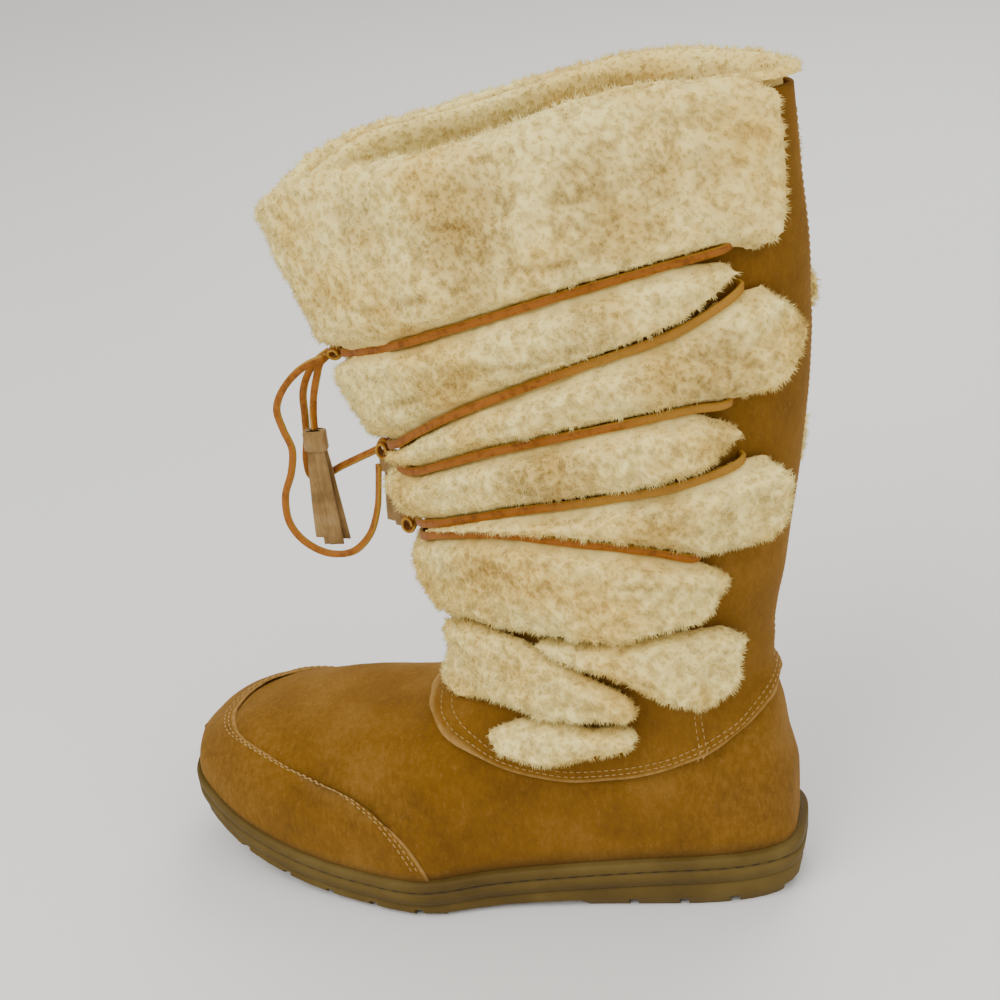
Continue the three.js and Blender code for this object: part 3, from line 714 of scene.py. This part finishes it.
def footReach(z, x0, dx, dy, off, f=footSet):
    # how far the foot goes from a point of the leg's middle, by halving
    inset = f["lip"] - off

    def inside(r):
        s = (f["heelBack"] - inset - (x0 + dx * r)) / (f["length"] - 2 * inset)
        if not 0 < s < 1:
            return False
        _, middle, half = plan(s, inset)
        low = soleTop(s) + f["seam"]
        h = (z - low) / (along(f["ridge"], s) * f["instep"] + off - low)
        if h >= 1 or half <= 0:
            return False
        return (abs(dy * r - middle) / half) ** 2.5 + max(h, 0) ** 2.5 < 1

    if not inside(0):
        return 0
    near, far = 0.0, 150.0
    for _ in range(13):
        r = (near + far) / 2
        near, far = (r, far) if inside(r) else (near, r)
    return near


def legPoint(angle, z, off=0.0, g=legSet):
    x, y, deep, half = legSection(z)
    t = math.radians(angle)
    ex, ey = deep * math.cos(t), -half * math.sin(t)
    reach = math.hypot(ex, ey)
    dx, dy = ex / reach, ey / reach
    clear = footSet["seam"] + footSet["wall"] + min(off, 0)
    base = footReach(z, x, dx, dy, clear) if z < g["footBelow"] else 0
    a, fillet = reach + min(off, 0), g["fillet"]
    h = clamp((fillet - abs(base - a)) / fillet)
    r = max(base, a) + h * h * fillet / 4 + max(off, 0)
    return Vector((x + dx * r, y + dy * r, z))


def legBeside(angle, z, off):
    # off the leg's surface at a right angle, level
    run = legPoint(angle + 0.5, z) - legPoint(angle - 0.5, z)
    return legPoint(angle, z) + Vector((-run.y, run.x, 0)).normalized() * off


def legAngle(p):
    x, y, deep, half = legSection(p.z)
    return math.degrees(math.atan2((y - p.y) / half, (p.x - x) / deep))


def halfTurn(angle):
    return 180 - abs(180 - angle % 360)


def skirtZ(angle):
    return along(legSet["skirt"], halfTurn(angle))


def rimZ(angle):
    return legSet["height"] - legSet["drop"] * along(legSet["rim"], halfTurn(angle))


legSteps = {"round": 144, "rows": 96, "crowded": 1.35}
legFolds = {"top": 150, "over": 60, "pitch": 0.33, "deep": 0.45, "hem": 118, "hemOver": 30, "frayed": 1.1}


def legWave(p, n):
    f = legFolds
    low = clamp((f["top"] - p.z) / f["over"]) * clamp((p.x + 20) / 30)
    fold = math.sin(p.z * f["pitch"] + noise.noise(p * 0.03) * 4) * f["deep"] * low
    hem = clamp((f["hem"] - p.z) / f["hemOver"])
    edge = noise.noise(Vector((p.x * 0.06, p.y * 0.06, 3))) * 0.9 * hem
    return p + n * (noise.noise(p * 0.03) * 0.8 + fold + edge)


rows = []
for k in range(legSteps["rows"] + 1):
    share = (k / legSteps["rows"]) ** legSteps["crowded"]
    ring = []
    for i in range(legSteps["round"] + 1):
        angle = 360 * i / legSteps["round"]
        raw = noise.noise(Vector((angle * 0.08, 0, 0))) * legFolds["frayed"]
        ring.append(legPoint(angle, mix(skirtZ(angle) + raw * (1 - share) ** 8, rimZ(angle), share)))
    rows.append(ring)
legPiece = sheetOf("leg", rows)
faceTo(legPiece, lambda v: v.normal.y * v.co.y)
pushNormals(legPiece, legWave)
walled(legPiece)
markEdge(legPiece, lambda p: clamp((skirtZ(legAngle(p)) + 1.3 - p.z) / 0.8) * 0.8)
settle(legPiece, suedeLeg, "suede", "shaft")
print("leg made")


# The sole: a midsole with its stitched groove and steps, and the treaded outsole
def plate(name, profile, steps=170):
    rings = []
    for s in stationsBetween(steps):
        ring = []
        for sign in (-1, 1):
            side = []
            for k, (inset, _) in enumerate(profile(s)):
                x, middle, half = plan(s, inset)
                side.append(Vector((x, middle + sign * half, profile(stationOf(x))[k][1])))
            ring += side if sign < 0 else side[::-1]
        rings.append(ring)
    return loft(name, rings)


midsoleSet = {"groove": 1.2, "grooveDown": 5.6, "step": 0.7, "stepDown": 10.5}


def midsoleProfile(s, m=midsoleSet):
    low, top = parting(s) + footSet["seam"], soleTop(s)
    line = top - m["grooveDown"]
    step = max(top - m["stepDown"], low + 1.6)
    return [(2.4, low), (1.3, low + 0.5), (0.9, step - 0.5), (0.2, step + 0.15), (0.1, line - 1.1),
            (0.45, line - 0.7), (m["groove"], line - 0.2), (m["groove"], line + 0.2), (0.45, line + 0.7),
            (0, line + 1.1), (0, top - 1.6), (0.35, top - 0.5), (1.4, top), (6, top)]


midsole = plate("midsole", midsoleProfile)
settle(midsole, rubber, "sole_rubber", "midsole")

outsole = copyOfNode("outsole", "outsole")
rounding = outsole.modifiers.new("edges", "BEVEL")
rounding.width = 0.7 * mm
rounding.segments = 2
rounding.limit_method = "ANGLE"
rounding.angle_limit = math.radians(38)
bakeDown(outsole)
outsole.data.shade_smooth()
outsole.data.set_sharp_from_angle(angle=math.radians(45))
settle(outsole, rubber, "tread_rubber", "outsole")
print("sole made")


def joined(name, pieces):
    bm = bmesh.new()
    for p in pieces:
        bm.from_mesh(p.data)
        bpy.data.objects.remove(p)
    mesh = bpy.data.meshes.new(name)
    bm.to_mesh(mesh)
    bm.free()
    mesh.shade_smooth()
    return addPiece(name, mesh)


# The wrapped lace: straps round the leg that come out of slots and cross in front.
# Angle from the back seam and height as a share of the leg's.
laceRows = {
    "first": [(46, .852), (65, .838), (84, .816), (110, .772), (129, .742), (150, .718), (180, .690)],
    "second": [(44, .806), (61, .770), (83, .737), (108, .687), (135, .632), (150, .606), (180, .576)],
    "third": [(50, .678), (63, .678), (86, .660), (106, .635), (142, .580), (160, .566), (180, .560)],
    "fourth": [(46, .610), (64, .592), (84, .580), (106, .560), (136, .520), (160, .494), (180, .480)],
    "fifth": [(60, .495), (78, .516), (96, .525), (114, .524), (138, .502), (160, .476), (180, .462)],
}
laceStrap = {
    "wide": 3.4, "thick": 1.6, "off": 7.2, "slot": 4.0,
    "sunk": {"first": (126, 166, 3.6)},                         # lies deeper between two angles
    "golden": {"second": 92, "third": 80, "fourth": 100},       # the flesh side shows behind this angle
    "node": {"lace_top": ["first"], "lace_middle": ["second", "third"], "lace_lower": ["fourth", "fifth"]},
}


def laceRoute(name, k=laceStrap):
    rows = laceRows[name]
    start = rows[0][0]
    low, high, under = k["sunk"].get(name, (200, 200, 0))
    path = [(start - k["slot"], -2.0), (start - k["slot"] * 0.4, k["off"] * 0.55)]
    for a in range(start + 3, 180, 3):
        path.append((a, k["off"] - under * ease((a - low) / 9) * ease((high - a) / 9)))
    points = [legPoint(a, (along(rows, a)) * legSet["height"], off) for a, off in path]
    return points + [Vector((p.x, -p.y, p.z)) for p in reversed(points)]


def laceBars(k=laceStrap):
    for node, names in k["node"].items():
        straps = []
        for name in names:
            route = smoothRoute(laceRoute(name), 2.0)
            strap = strapAlong(name, route, k["wide"], k["thick"], 0.3, side=Vector((0, 0, 1)),
                               twist=lambda t, n=name: 7 * math.sin(9 * t + len(n)))
            turned = k["golden"].get(name, 0)
            mark = strap.data.attributes["edge"]
            for v, m in zip(strap.data.vertices, mark.data):
                m.value = max(m.value, clamp((turned - abs(legAngle(v.co / mm))) / 12) * 0.6)
            straps.append(strap)
        piece = joined(node.replace("lace_", "laceBar_"), straps)
        pushNormals(piece, lambda p, n: p + n * noise.noise(p * 0.16) * 0.2)
        settle(piece, laceLeather, "lace_leather", node)


knotSet = {"turns": 2.2, "steps": 60, "lean": 0.62, "fat": 0.78, "wide": 2.6, "thick": 1.4, "corner": 0.35}


def knotWrap(node, name, k=knotSet):
    low, high = [Vector(c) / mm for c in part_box(node)]
    middle = (low + high) / 2
    reach = (high - low) / 2
    route = []
    for i in range(k["steps"] + 1):
        t = i / k["steps"]
        a = 2 * math.pi * k["turns"] * t
        lean = mix(-k["lean"], k["lean"], t)
        fat = math.sqrt(1 - lean * lean) * k["fat"]
        turn = Vector((math.cos(a) * reach.x * fat, reach.y * lean, math.sin(a) * reach.z * fat))
        route.append(middle + turn)
    settle(strapAlong(name, route, k["wide"], k["thick"], k["corner"]), laceLeather, "lace_leather", node)


laceBars()
for place in ("top", "middle", "lower"):
    knotWrap("lace_knot_" + place, "knot" + place.capitalize())

# Tassels: strips of thin suede under a wrapped head
tasselForms = {
    "tasselUpper": {
        "node": "tassel_upper", "turn": 8, "long": 55,
        "strips": [(-2.6, 1.6, 0.95, -1), (2.4, 1.7, 0.98, 3), (-0.2, 0.1, 1, 0.5),
                   (-2.3, -1.5, 0.93, -0.6), (1.6, -1.6, 1, 1.2)],
    },
    "tasselLower": {
        "node": "tassel_lower", "turn": -12, "long": 37,
        "strips": [(-2.4, 1.5, 0.96, -1.5), (2.4, 1.4, 1, 1), (0, 0, 0.92, 0), (1.2, -1.5, 0.97, 0.6)],
    },
}

# The strips, and the wrapped head in rows: height under its top, half width, half depth
tasselStrip = {"rows": 24, "wide": 4.6, "flare": (0.9, 1.35), "half": 0.55, "bow": 0.7, "curl": 0.35,
               "outline": ((-1, -1), (0, -1), (1, -1), (1, 1), (0, 1), (-1, 1))}
tasselHead = {
    "rows": [(-9.2, 4.6, 2.7), (-8.6, 5.1, 3.1), (-4.5, 5.0, 3.0), (-0.8, 5.0, 3.0), (0, 4.2, 2.2)],
    "square": 0.45, "round": 28,
}


def makeTasselPiece(name, t, strip=tasselStrip, knob=tasselHead):
    low, high = [Vector(c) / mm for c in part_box(t["node"])]
    top = Vector(((low.x + high.x) / 2 - (1 if t["turn"] > 0 else 0), (low.y + high.y) / 2, high.z))
    turn = Matrix.Rotation(math.radians(t["turn"]), 3, "Z")
    parts = []
    for i, (across, deep, share, lean) in enumerate(t["strips"]):
        length = t["long"] * share
        rings = []
        for k in range(strip["rows"] + 1):
            d = k / strip["rows"]
            wide = strip["wide"] * mix(*strip["flare"], ease(d)) / 2
            bow = math.sin(d * 5 + across * 2) * strip["bow"] * d
            middle = Vector((across * mix(0.5, 1, ease(d * 2.5)) + lean * d * d,
                             deep * mix(0.75, 1.1, d) + bow, -d * length))
            curl = strip["curl"] * math.sin(i * 2 + d * 2)
            rings.append([middle + Vector((sx * wide, sy * strip["half"] + curl * abs(sx), 0))
                          for sx, sy in strip["outline"]])
        parts.append(loft(name + "strip", [[turn @ p + top for p in r] for r in rings], capped=True))
    head = []
    for z, wide, deep in knob["rows"]:
        corners = [(signedPower(math.cos(a), knob["square"]) * wide,
                    signedPower(math.sin(a), knob["square"]) * deep)
                   for a in [2 * math.pi * j / knob["round"] for j in range(knob["round"])]]
        head.append([turn @ Vector((x, y, z)) + top for x, y in corners])
    parts.append(loft(name + "head", head, capped=True))
    piece = joined(name, parts)
    soften = piece.modifiers.new("soften", "BEVEL")
    soften.width = 0.18 * mm
    soften.limit_method = "ANGLE"
    soften.angle_limit = math.radians(50)
    bakeDown(piece)
    settle(piece, tasselSuede, "tassel_leather", t["node"])
    return piece


tassels = {name: makeTasselPiece(name, t) for name, t in tasselForms.items()}
for cordName, c in cordRoutes.items():
    if c["end"] is None:
        continue
    piece, route = cordPieces[cordName]
print("lace, knots and tassels made")


# Stitches: small capsules along curves
class Graph:
    def __init__(self, name):
        self.tree = bpy.data.node_groups.new(name, "GeometryNodeTree")
        self.tree.interface.new_socket("Geometry", in_out="INPUT", socket_type="NodeSocketGeometry")
        self.tree.interface.new_socket("Geometry", in_out="OUTPUT", socket_type="NodeSocketGeometry")
        self.start = self.tree.nodes.new("NodeGroupInput")
        self.end = self.tree.nodes.new("NodeGroupOutput")
        self.keys = {}

    def take(self, name, kind="Float"):
        socket = self.tree.interface.new_socket(name, in_out="INPUT", socket_type="NodeSocket" + kind)
        self.keys[name] = socket.identifier
        return self.start.outputs[name]

    def add(self, kind, inputs=None, **values):
        node = self.tree.nodes.new(kind)
        for key, value in values.items():
            setattr(node, key, value)
        for key, value in (inputs or {}).items():
            if isinstance(value, bpy.types.NodeSocket):
                self.tree.links.new(value, node.inputs[key])
            else:
                node.inputs[key].default_value = value
        return node

    def out(self, kind, inputs=None, **values):
        return self.add(kind, inputs, **values).outputs[0]

    def close(self, geometry, finish):
        # real geometry, shaded smooth and in its material, to the tree's end
        smooth = self.out("GeometryNodeSetShadeSmooth", {0: geometry})
        done = self.out("GeometryNodeSetMaterial", {"Geometry": smooth, "Material": finish})
        self.tree.links.new(done, self.end.inputs[0])
        return self

    def fit(self, piece, **values):
        modifier = piece.modifiers.new(self.tree.name, "NODES")
        modifier.node_group = self.tree
        for name, value in values.items():
            modifier[self.keys[name]] = value


def stitchGraph():
    g = Graph("stitches")
    pitch, long, fat = [g.take(name) for name in ("pitch", "long", "fat")]
    finish = g.take("finish", "Material")
    rows = g.out("GeometryNodeResampleCurve", {"Curve": g.start.outputs[0], "Length": pitch}, mode="LENGTH")
    tangent = g.out("GeometryNodeInputTangent")
    turn = g.out("FunctionNodeAlignRotationToVector", {"Vector": tangent}, axis="Z")
    shape = g.out("GeometryNodeMeshUVSphere", {"Segments": 7, "Rings": 5, "Radius": 0.5})
    wide = g.out("ShaderNodeMath", {0: fat, 1: 2.0}, operation="MULTIPLY")
    size = g.out("ShaderNodeCombineXYZ", {"X": wide, "Y": wide, "Z": long})
    placed = g.out("GeometryNodeInstanceOnPoints", {"Points": rows, "Instance": shape, "Rotation": turn,
                                                    "Scale": size})
    return g.close(g.out("GeometryNodeRealizeInstances", {0: placed}), finish)


stitcher = stitchGraph()


def stitchRows(name, lines, pitch, long, fat, slot="lace_leather", finish=thread):
    curve = bpy.data.curves.new(name, "CURVE")
    curve.dimensions = "3D"
    for line in lines:
        spline = curve.splines.new("POLY")
        spline.points.add(len(line) - 1)
        for point, p in zip(spline.points, line):
            point.co = (*(p * mm), 1)
    piece = addPiece(name, curve)
    stitcher.fit(piece, pitch=pitch * mm, long=long * mm, fat=fat * mm, finish=finish)
    settle(bakeDown(piece), None, slot)


def treeOf(piece):
    bm = bmesh.new()
    bm.from_mesh(piece.data)
    tree = BVHTree.FromBMesh(bm)
    bm.free()
    return tree


def laidOn(tree, p, lift=0.1):
    # the nearest point of a surface, a hair above it
    found, normal, _, _ = tree.find_nearest(p * mm)
    return found / mm + normal * lift


# Where the double rows run: share of the foot past the cap's seam, height over the skirt's edge,
# angles and heights of the seams
stitchSet = {"cap": (0.0085, 0.0175), "skirt": (2.8, 5.2),
             "seams": (((358.2, 1.8), (110, 356, 3)), ((56, 58.5), (75, 104, 3)))}
capTree, legTree = treeOf(toeCap), treeOf(legPiece)
capAngles = [math.radians(3 + 174 * j / 160) for j in range(161)]
capLines = [[laidOn(capTree, footPoint(clamp(capSeam(a) + ds), a, 1.6)) for a in capAngles]
            for ds in stitchSet["cap"]]
skirtLines = [[laidOn(legTree, legPoint(i * 2.5, skirtZ(i * 2.5) + up, 1)) for i in range(145)]
              for up in stitchSet["skirt"]]
seams = [[laidOn(legTree, legPoint(angle, z, 1)) for z in range(*heights)]
         for angles, heights in stitchSet["seams"] for angle in angles]
stitchRows("stitchesToeCap", capLines, 3.3, 2.4, 0.34)
stitchRows("stitchesSkirt", skirtLines, 3.0, 2.2, 0.30)
stitchRows("stitchesSeams", seams, 3.2, 2.3, 0.28)


def grooveLine(m=midsoleSet):
    line = []
    for sign in (1, -1):
        steps = stationsBetween(140, 0.0006, 0.9994)
        half = []
        for s in steps:
            x, middle, reach = plan(s, m["groove"] - 0.25)
            half.append(Vector((x, middle + sign * reach, soleTop(stationOf(x)) - m["grooveDown"])))
        line += half if sign > 0 else half[::-1]
    return line


stitchRows("stitchesSole", [grooveLine()], 7.2, 4.2, 0.34, "sole_rubber", soleThread)
print("stitches made")

# Fleece: a lumpy undercoat under short, dense tufts that gather in small curls
fleeceGrow = {
    "voxel": 1.6 * mm, "soften": (0.6, 9), "cuffThin": 0.8,
    "lump": 0.9 * mm, "curl": 1.1 * mm, "tuftLong": 2.5 * mm, "density": 370000.0, "lean": 1.1,
}
# Heights over the suede or the lace, in metres, and texture scales per metre
woolNodes = {
    "deep": (2 * mm, 13 * mm), "bareBelow": 2.4 * mm,
    "grown": (2.5 * mm, 7 * mm, 0.55), "trim": (0.8 * mm, 4.5 * mm, 0.2), "tall": (0.65, 1.25),
    "lumps": 75.0, "curls": 215.0, "locks": 330.0, "swirls": 190.0, "swirl": 2.6, "droop": (0, 0, -0.22),
}

# Marks in the wool, in millimetres: tan stains (place, reach, strength) and soft partings
stains = [
    ((-66, -59, 337), 18, .75), ((-76, -56, 323), 22, .9), ((-75, -56, 303), 14, .65),
    ((-22, -56, 338), 21, .65), ((0, -49, 341), 16, .65), ((-17, -55, 328), 22, .6),
    ((19, -42, 343), 14, .35), ((-116, -46, 324), 16, .35), ((-28, -55, 291), 18, .45),
    ((-90, -49, 261), 14, .35), ((-51, -57, 223), 24, .8), ((16, -45, 263), 21, .85),
    ((2, -49, 266), 19, .6), ((20, -38, 231), 15, .5), ((-9, -43, 215), 17, .6),
    ((-6, -50, 196), 20, .5), ((13, -45, 197), 14, .3), ((-82, -46, 177), 20, .2),
    ((-60, 55, 320), 26, .7), ((0, 48, 262), 22, .6), ((-110, 40, 300), 20, .5),
]
partings = [
    [(-70, -57, 306), (-58, -58, 309), (-40, -56, 311), (-13, -54, 316)],
    [(-117, -44, 287), (-105, -49, 292), (-91, -52, 296)],
    [(-115, -38, 244), (-93, -49, 255), (-74, -54, 265), (-62, -58, 271), (-49, -56, 270)],
    [(-47, -57, 272), (-32, -57, 277), (-15, -55, 281)],
]


woolMarks = {"grain": 0.12, "wander": 5, "follow": 0.25, "wide": 2.4, "groove": 1.4}


def toSegment(p, a, b):
    t = clamp((p - a).dot(b - a) / (b - a).length_squared)
    return (p - a.lerp(b, t)).length


def markWool(piece, w=woolMarks):
    # stains and partings as values at each corner; a parting is also a groove, and the fleece material
    # paints shade along it
    lines = [(Vector(a), Vector(b)) for line in partings for a, b in zip(line, line[1:])]
    marks = {name: newMark(piece, name) for name in ("stain", "parting")}
    normals = [v.normal.copy() for v in piece.data.vertices]
    for v, n in zip(piece.data.vertices, normals):
        p = v.co / mm
        q = p * w["grain"]
        wander = Vector((noise.noise(q), 0, noise.noise(q + Vector((9, 0, 0))))) * w["wander"]
        stain = 0.0
        for at, reach, strength in stains:
            far = (p + wander - Vector(at)).length / reach
            if far < 1:
                stain = max(stain, strength * (1 - far * far))
        q = p + wander * w["follow"]
        part = math.exp(-(min(toSegment(q, a, b) for a, b in lines) / w["wide"]) ** 2)
        marks["stain"].data[v.index].value = stain
        marks["parting"].data[v.index].value = part
        v.co = (p - n * part * w["groove"]) * mm


tuftSet = {"fibres": 3, "root": 0.10, "thick": 0.085, "splay": 3.6, "tall": 0.8, "taller": 0.1}


def tuftMesh(t=tuftSet):
    # thin fibres that splay from one root, with "tip" rising from 0 to 1; the fleece material paints shade
    # towards the roots with it
    points, faces = [], []
    for lock in range(t["fibres"]):
        turn = 2 * math.pi * lock / t["fibres"]
        root = Vector((math.cos(turn), math.sin(turn), 0)) * t["root"]
        for j in range(3):
            a = 2 * math.pi * j / 3 + turn
            points.append(root + Vector((math.cos(a), math.sin(a), 0)) * t["thick"])
            faces.append((4 * lock + j, 4 * lock + (j + 1) % 3, 4 * lock + 3))
        points.append(root * t["splay"] + Vector((0, 0, t["tall"] + t["taller"] * lock)))
    piece = addMesh("tuft", points, faces)
    for i, mark in enumerate(newMark(piece, "tip").data):
        mark.value = 1.0 if i % 4 == 3 else 0.0
    return piece


def fleeceGraph(w=woolNodes):
    g = Graph("fleece")
    density, long, lump, curl, lean = [g.take(name) for name in ("density", "long", "lump", "curl", "lean")]
    seed = g.take("seed", "Int")
    skin, lace, tuft = [g.take(name, "Object") for name in ("skin", "lace", "tuft")]
    finish = g.take("finish", "Material")

    def op(kind, a, b):
        return g.out("ShaderNodeMath", {0: a, 1: b}, operation=kind)

    def vectorOp(kind, a, b):
        return g.out("ShaderNodeVectorMath", {0: a, 1: b}, operation=kind)

    def scaled(vector, by):
        return g.out("ShaderNodeVectorMath", {0: vector, "Scale": by}, operation="SCALE")

    def remapped(value, low, high, start=0.0):
        return g.out("ShaderNodeMapRange", {"Value": value, "From Min": low, "From Max": high,
                                            "To Min": start})

    def shapeOf(thing):
        return g.add("GeometryNodeObjectInfo", {"Object": thing}).outputs["Geometry"]

    def farFrom(thing):
        return g.add("GeometryNodeProximity", {0: shapeOf(thing)}).outputs["Distance"]

    def stored(geometry, name, value):
        values = {"Geometry": geometry, "Name": name, "Value": value}
        return g.out("GeometryNodeStoreNamedAttribute", values, data_type="FLOAT", domain="POINT")

    def between(low, high):
        return g.add("FunctionNodeRandomValue", {2: low, 3: high, "Seed": seed},
                     data_type="FLOAT").outputs[1]

    height = farFrom(skin)
    depth = remapped(height, *w["deep"])
    big = g.out("ShaderNodeTexNoise", {"Scale": w["lumps"], "Detail": 2.0})
    small = g.out("ShaderNodeTexVoronoi", {"Scale": w["curls"]}, feature="SMOOTH_F1")
    # depth and the curl distance are stored for the fleece's painted shade, low in the coat and between
    # curls
    marked = stored(stored(g.start.outputs[0], "depth", depth), "dip", small)
    rise = op("ADD", op("MULTIPLY", op("SUBTRACT", big, 0.5), op("MULTIPLY", lump, 4.0)),
              op("MULTIPLY", op("SUBTRACT", 0.35, small), op("MULTIPLY", curl, 2.4)))
    offset = scaled(g.out("GeometryNodeInputNormal"), op("MULTIPLY", rise, depth))
    coat = g.out("GeometryNodeSetPosition", {"Geometry": marked, "Offset": offset})
    outer = g.out("FunctionNodeCompare", {0: height, 1: w["bareBelow"]}, data_type="FLOAT",
                  operation="GREATER_THAN")
    points = g.add("GeometryNodeDistributePointsOnFaces", {
        "Mesh": coat, "Selection": outer, "Density": density, "Seed": seed})
    cell = g.add("ShaderNodeTexVoronoi", {"Scale": w["locks"]}, feature="F1").outputs["Position"]
    gather = scaled(vectorOp("SUBTRACT", cell, g.out("GeometryNodeInputPosition")), w["locks"])
    swirl = g.add("ShaderNodeTexNoise", {"Scale": w["swirls"], "Detail": 2.0}).outputs[1]
    swirl = scaled(vectorOp("SUBTRACT", swirl, (0.5, 0.5, 0.5)), w["swirl"])
    droop = vectorOp("ADD", swirl, g.out("FunctionNodeInputVector", vector=w["droop"]))
    pull = scaled(vectorOp("ADD", gather, droop), lean)
    aim = vectorOp("ADD", points.outputs["Normal"], pull)
    turn = g.out("FunctionNodeAlignRotationToVector", {"Vector": aim}, axis="Z")
    spin = g.out("FunctionNodeAxisAngleToRotation", {"Axis": (0, 0, 1), "Angle": between(0.0, 2 * math.pi)})
    spun = g.out("FunctionNodeRotateRotation", {"Rotation": turn, "Rotate By": spin},
                 rotation_space="LOCAL")
    short = op("MULTIPLY", remapped(height, *w["grown"]), remapped(farFrom(lace), *w["trim"]))
    size = op("MULTIPLY", op("MULTIPLY", long, between(*w["tall"])), short)
    kept = g.out("GeometryNodeInstanceOnPoints", {
        "Points": points.outputs["Points"], "Rotation": spun, "Instance": shapeOf(tuft), "Scale": size})
    both = g.add("GeometryNodeJoinGeometry")
    for part in (coat, g.out("GeometryNodeRealizeInstances", {0: kept})):
        g.tree.links.new(part, both.inputs[0])
    return g.close(both.outputs[0], finish)


tuft = tuftMesh()
grower = fleeceGraph()


def growFleece(node, name, seed, g=fleeceGrow, thin=1.0):
    piece = evenly(copyOfNode(node, name), g["voxel"])
    soft = piece.modifiers.new("soft", "SMOOTH")
    soft.factor, soft.iterations = g["soften"]
    bakeDown(piece)
    markWool(piece)
    grower.fit(piece, density=g["density"] * thin, long=g["tuftLong"], lump=g["lump"], curl=g["curl"],
               lean=g["lean"], seed=seed, skin=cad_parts["shaft"], lace=laceAll, tuft=tuft,
               finish=fleece)
    bakeDown(piece)
    settle(piece, fleece, "fleece", node)
    piece.data.calc_loop_triangles()
    return len(piece.data.loop_triangles)


laceAll = joined("laceAll", [copyOfNode(n, n + "copy") for n in laceStrap["node"]])
fleeceNodes = sorted(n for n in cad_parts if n.startswith("fleece_"))
total = 0
for seed, node in enumerate(fleeceNodes):
    words = node.split("_")
    name = "fleece" + "".join(w.capitalize() for w in words[1:])
    thin = fleeceGrow["cuffThin"] if node == "fleece_cuff" else 1.0
    count = growFleece(node, name, seed + 3, thin=thin)
    total += count
    print(name, count, "faces")
print("fleece grown,", total, "faces")

# Inside: a woolly lining that comes up over the rim, and a fleece footbed
liningSet = {"down": 84, "gap": 1.6, "density": 250000.0, "long": 2.6 * mm,
             "lip": [(2.6, 4.5), (1.6, 6.6), (-0.6, 7.2), (-2.6, 5.6), (-3.6, 3.4)]}


def makeLining(s=liningSet):
    inner = -footSet["wall"] - s["gap"]
    path = s["lip"] + [(inner, 0.8 - s["down"] * k / 26) for k in range(27)]
    rows = [[legBeside(4 * i, rimZ(4 * i) + dz, off) for i in range(91)] for off, dz in path]
    piece = sheetOf("lining", rows)
    faceTo(piece, lambda v: -v.normal.y * v.co.y)
    grower.fit(piece, density=s["density"], long=s["long"], lump=0.3 * mm, curl=0.3 * mm, lean=0.8, seed=91,
               skin=tuft, lace=laceAll, tuft=tuft, finish=fleece)
    bakeDown(piece)
    settle(piece, fleece, "fleece")


makeLining()
footbed = evenly(copyOfNode("insole", "footbed"), 2.5 * mm)
bakeDown(footbed)
pushNormals(footbed, lambda p, n: p + n * noise.noise(p * 0.3) * 0.5 * clamp(n.z))
footbed.data.shade_smooth()
settle(footbed, fleece, "fleece", "insole")
bpy.data.objects.remove(tuft)
bpy.data.objects.remove(laceAll)
print("lining and footbed made")

# A plain pale floor and soft light
studio = {
    "size": 6,
    "floor": (0.80, 0.79, 0.77),
    "world": 0.75,
    "lights": [
        {"at": (-0.7, -1.1, 1.5), "size": 1.3, "power": 26},
        {"at": (1.0, -0.7, 1.0), "size": 1.2, "power": 9},
        {"at": (0.1, 1.1, 1.3), "size": 1.0, "power": 12},
    ],
}


def makeStudio(s):
    m = Nodes("floor")
    shade = m.noise(3, 2, 0.5)
    m.finish(m.ramp(shade, [(0.3, s["floor"]), (0.7, tuple(c * 1.03 for c in s["floor"]))]), 0.8)
    corners = [Vector((x * s["size"], y * s["size"], 0)) for x, y in ((-1, -1), (1, -1), (1, 1), (-1, 1))]
    floor = addMesh("floor", corners, [(0, 1, 2, 3)])
    floor.location.z = -0.0002
    floor.data.materials.append(m.material)
    world = bpy.data.worlds.new("studio")
    world.use_nodes = True
    world.node_tree.nodes["Background"].inputs[0].default_value = (1, 0.985, 0.96, 1)
    world.node_tree.nodes["Background"].inputs[1].default_value = s["world"]
    scene.world = world
    for i, l in enumerate(s["lights"]):
        data = bpy.data.lights.new("light" + str(i), "AREA")
        data.size = l["size"]
        data.energy = l["power"]
        lamp = addPiece(data.name, data)
        lamp.location = l["at"]
        aim = Vector((-0.08, 0, 0.15)) - lamp.location
        lamp.rotation_euler = aim.to_track_quat("-Z", "Y").to_euler()


makeStudio(studio)
print("studio ready")
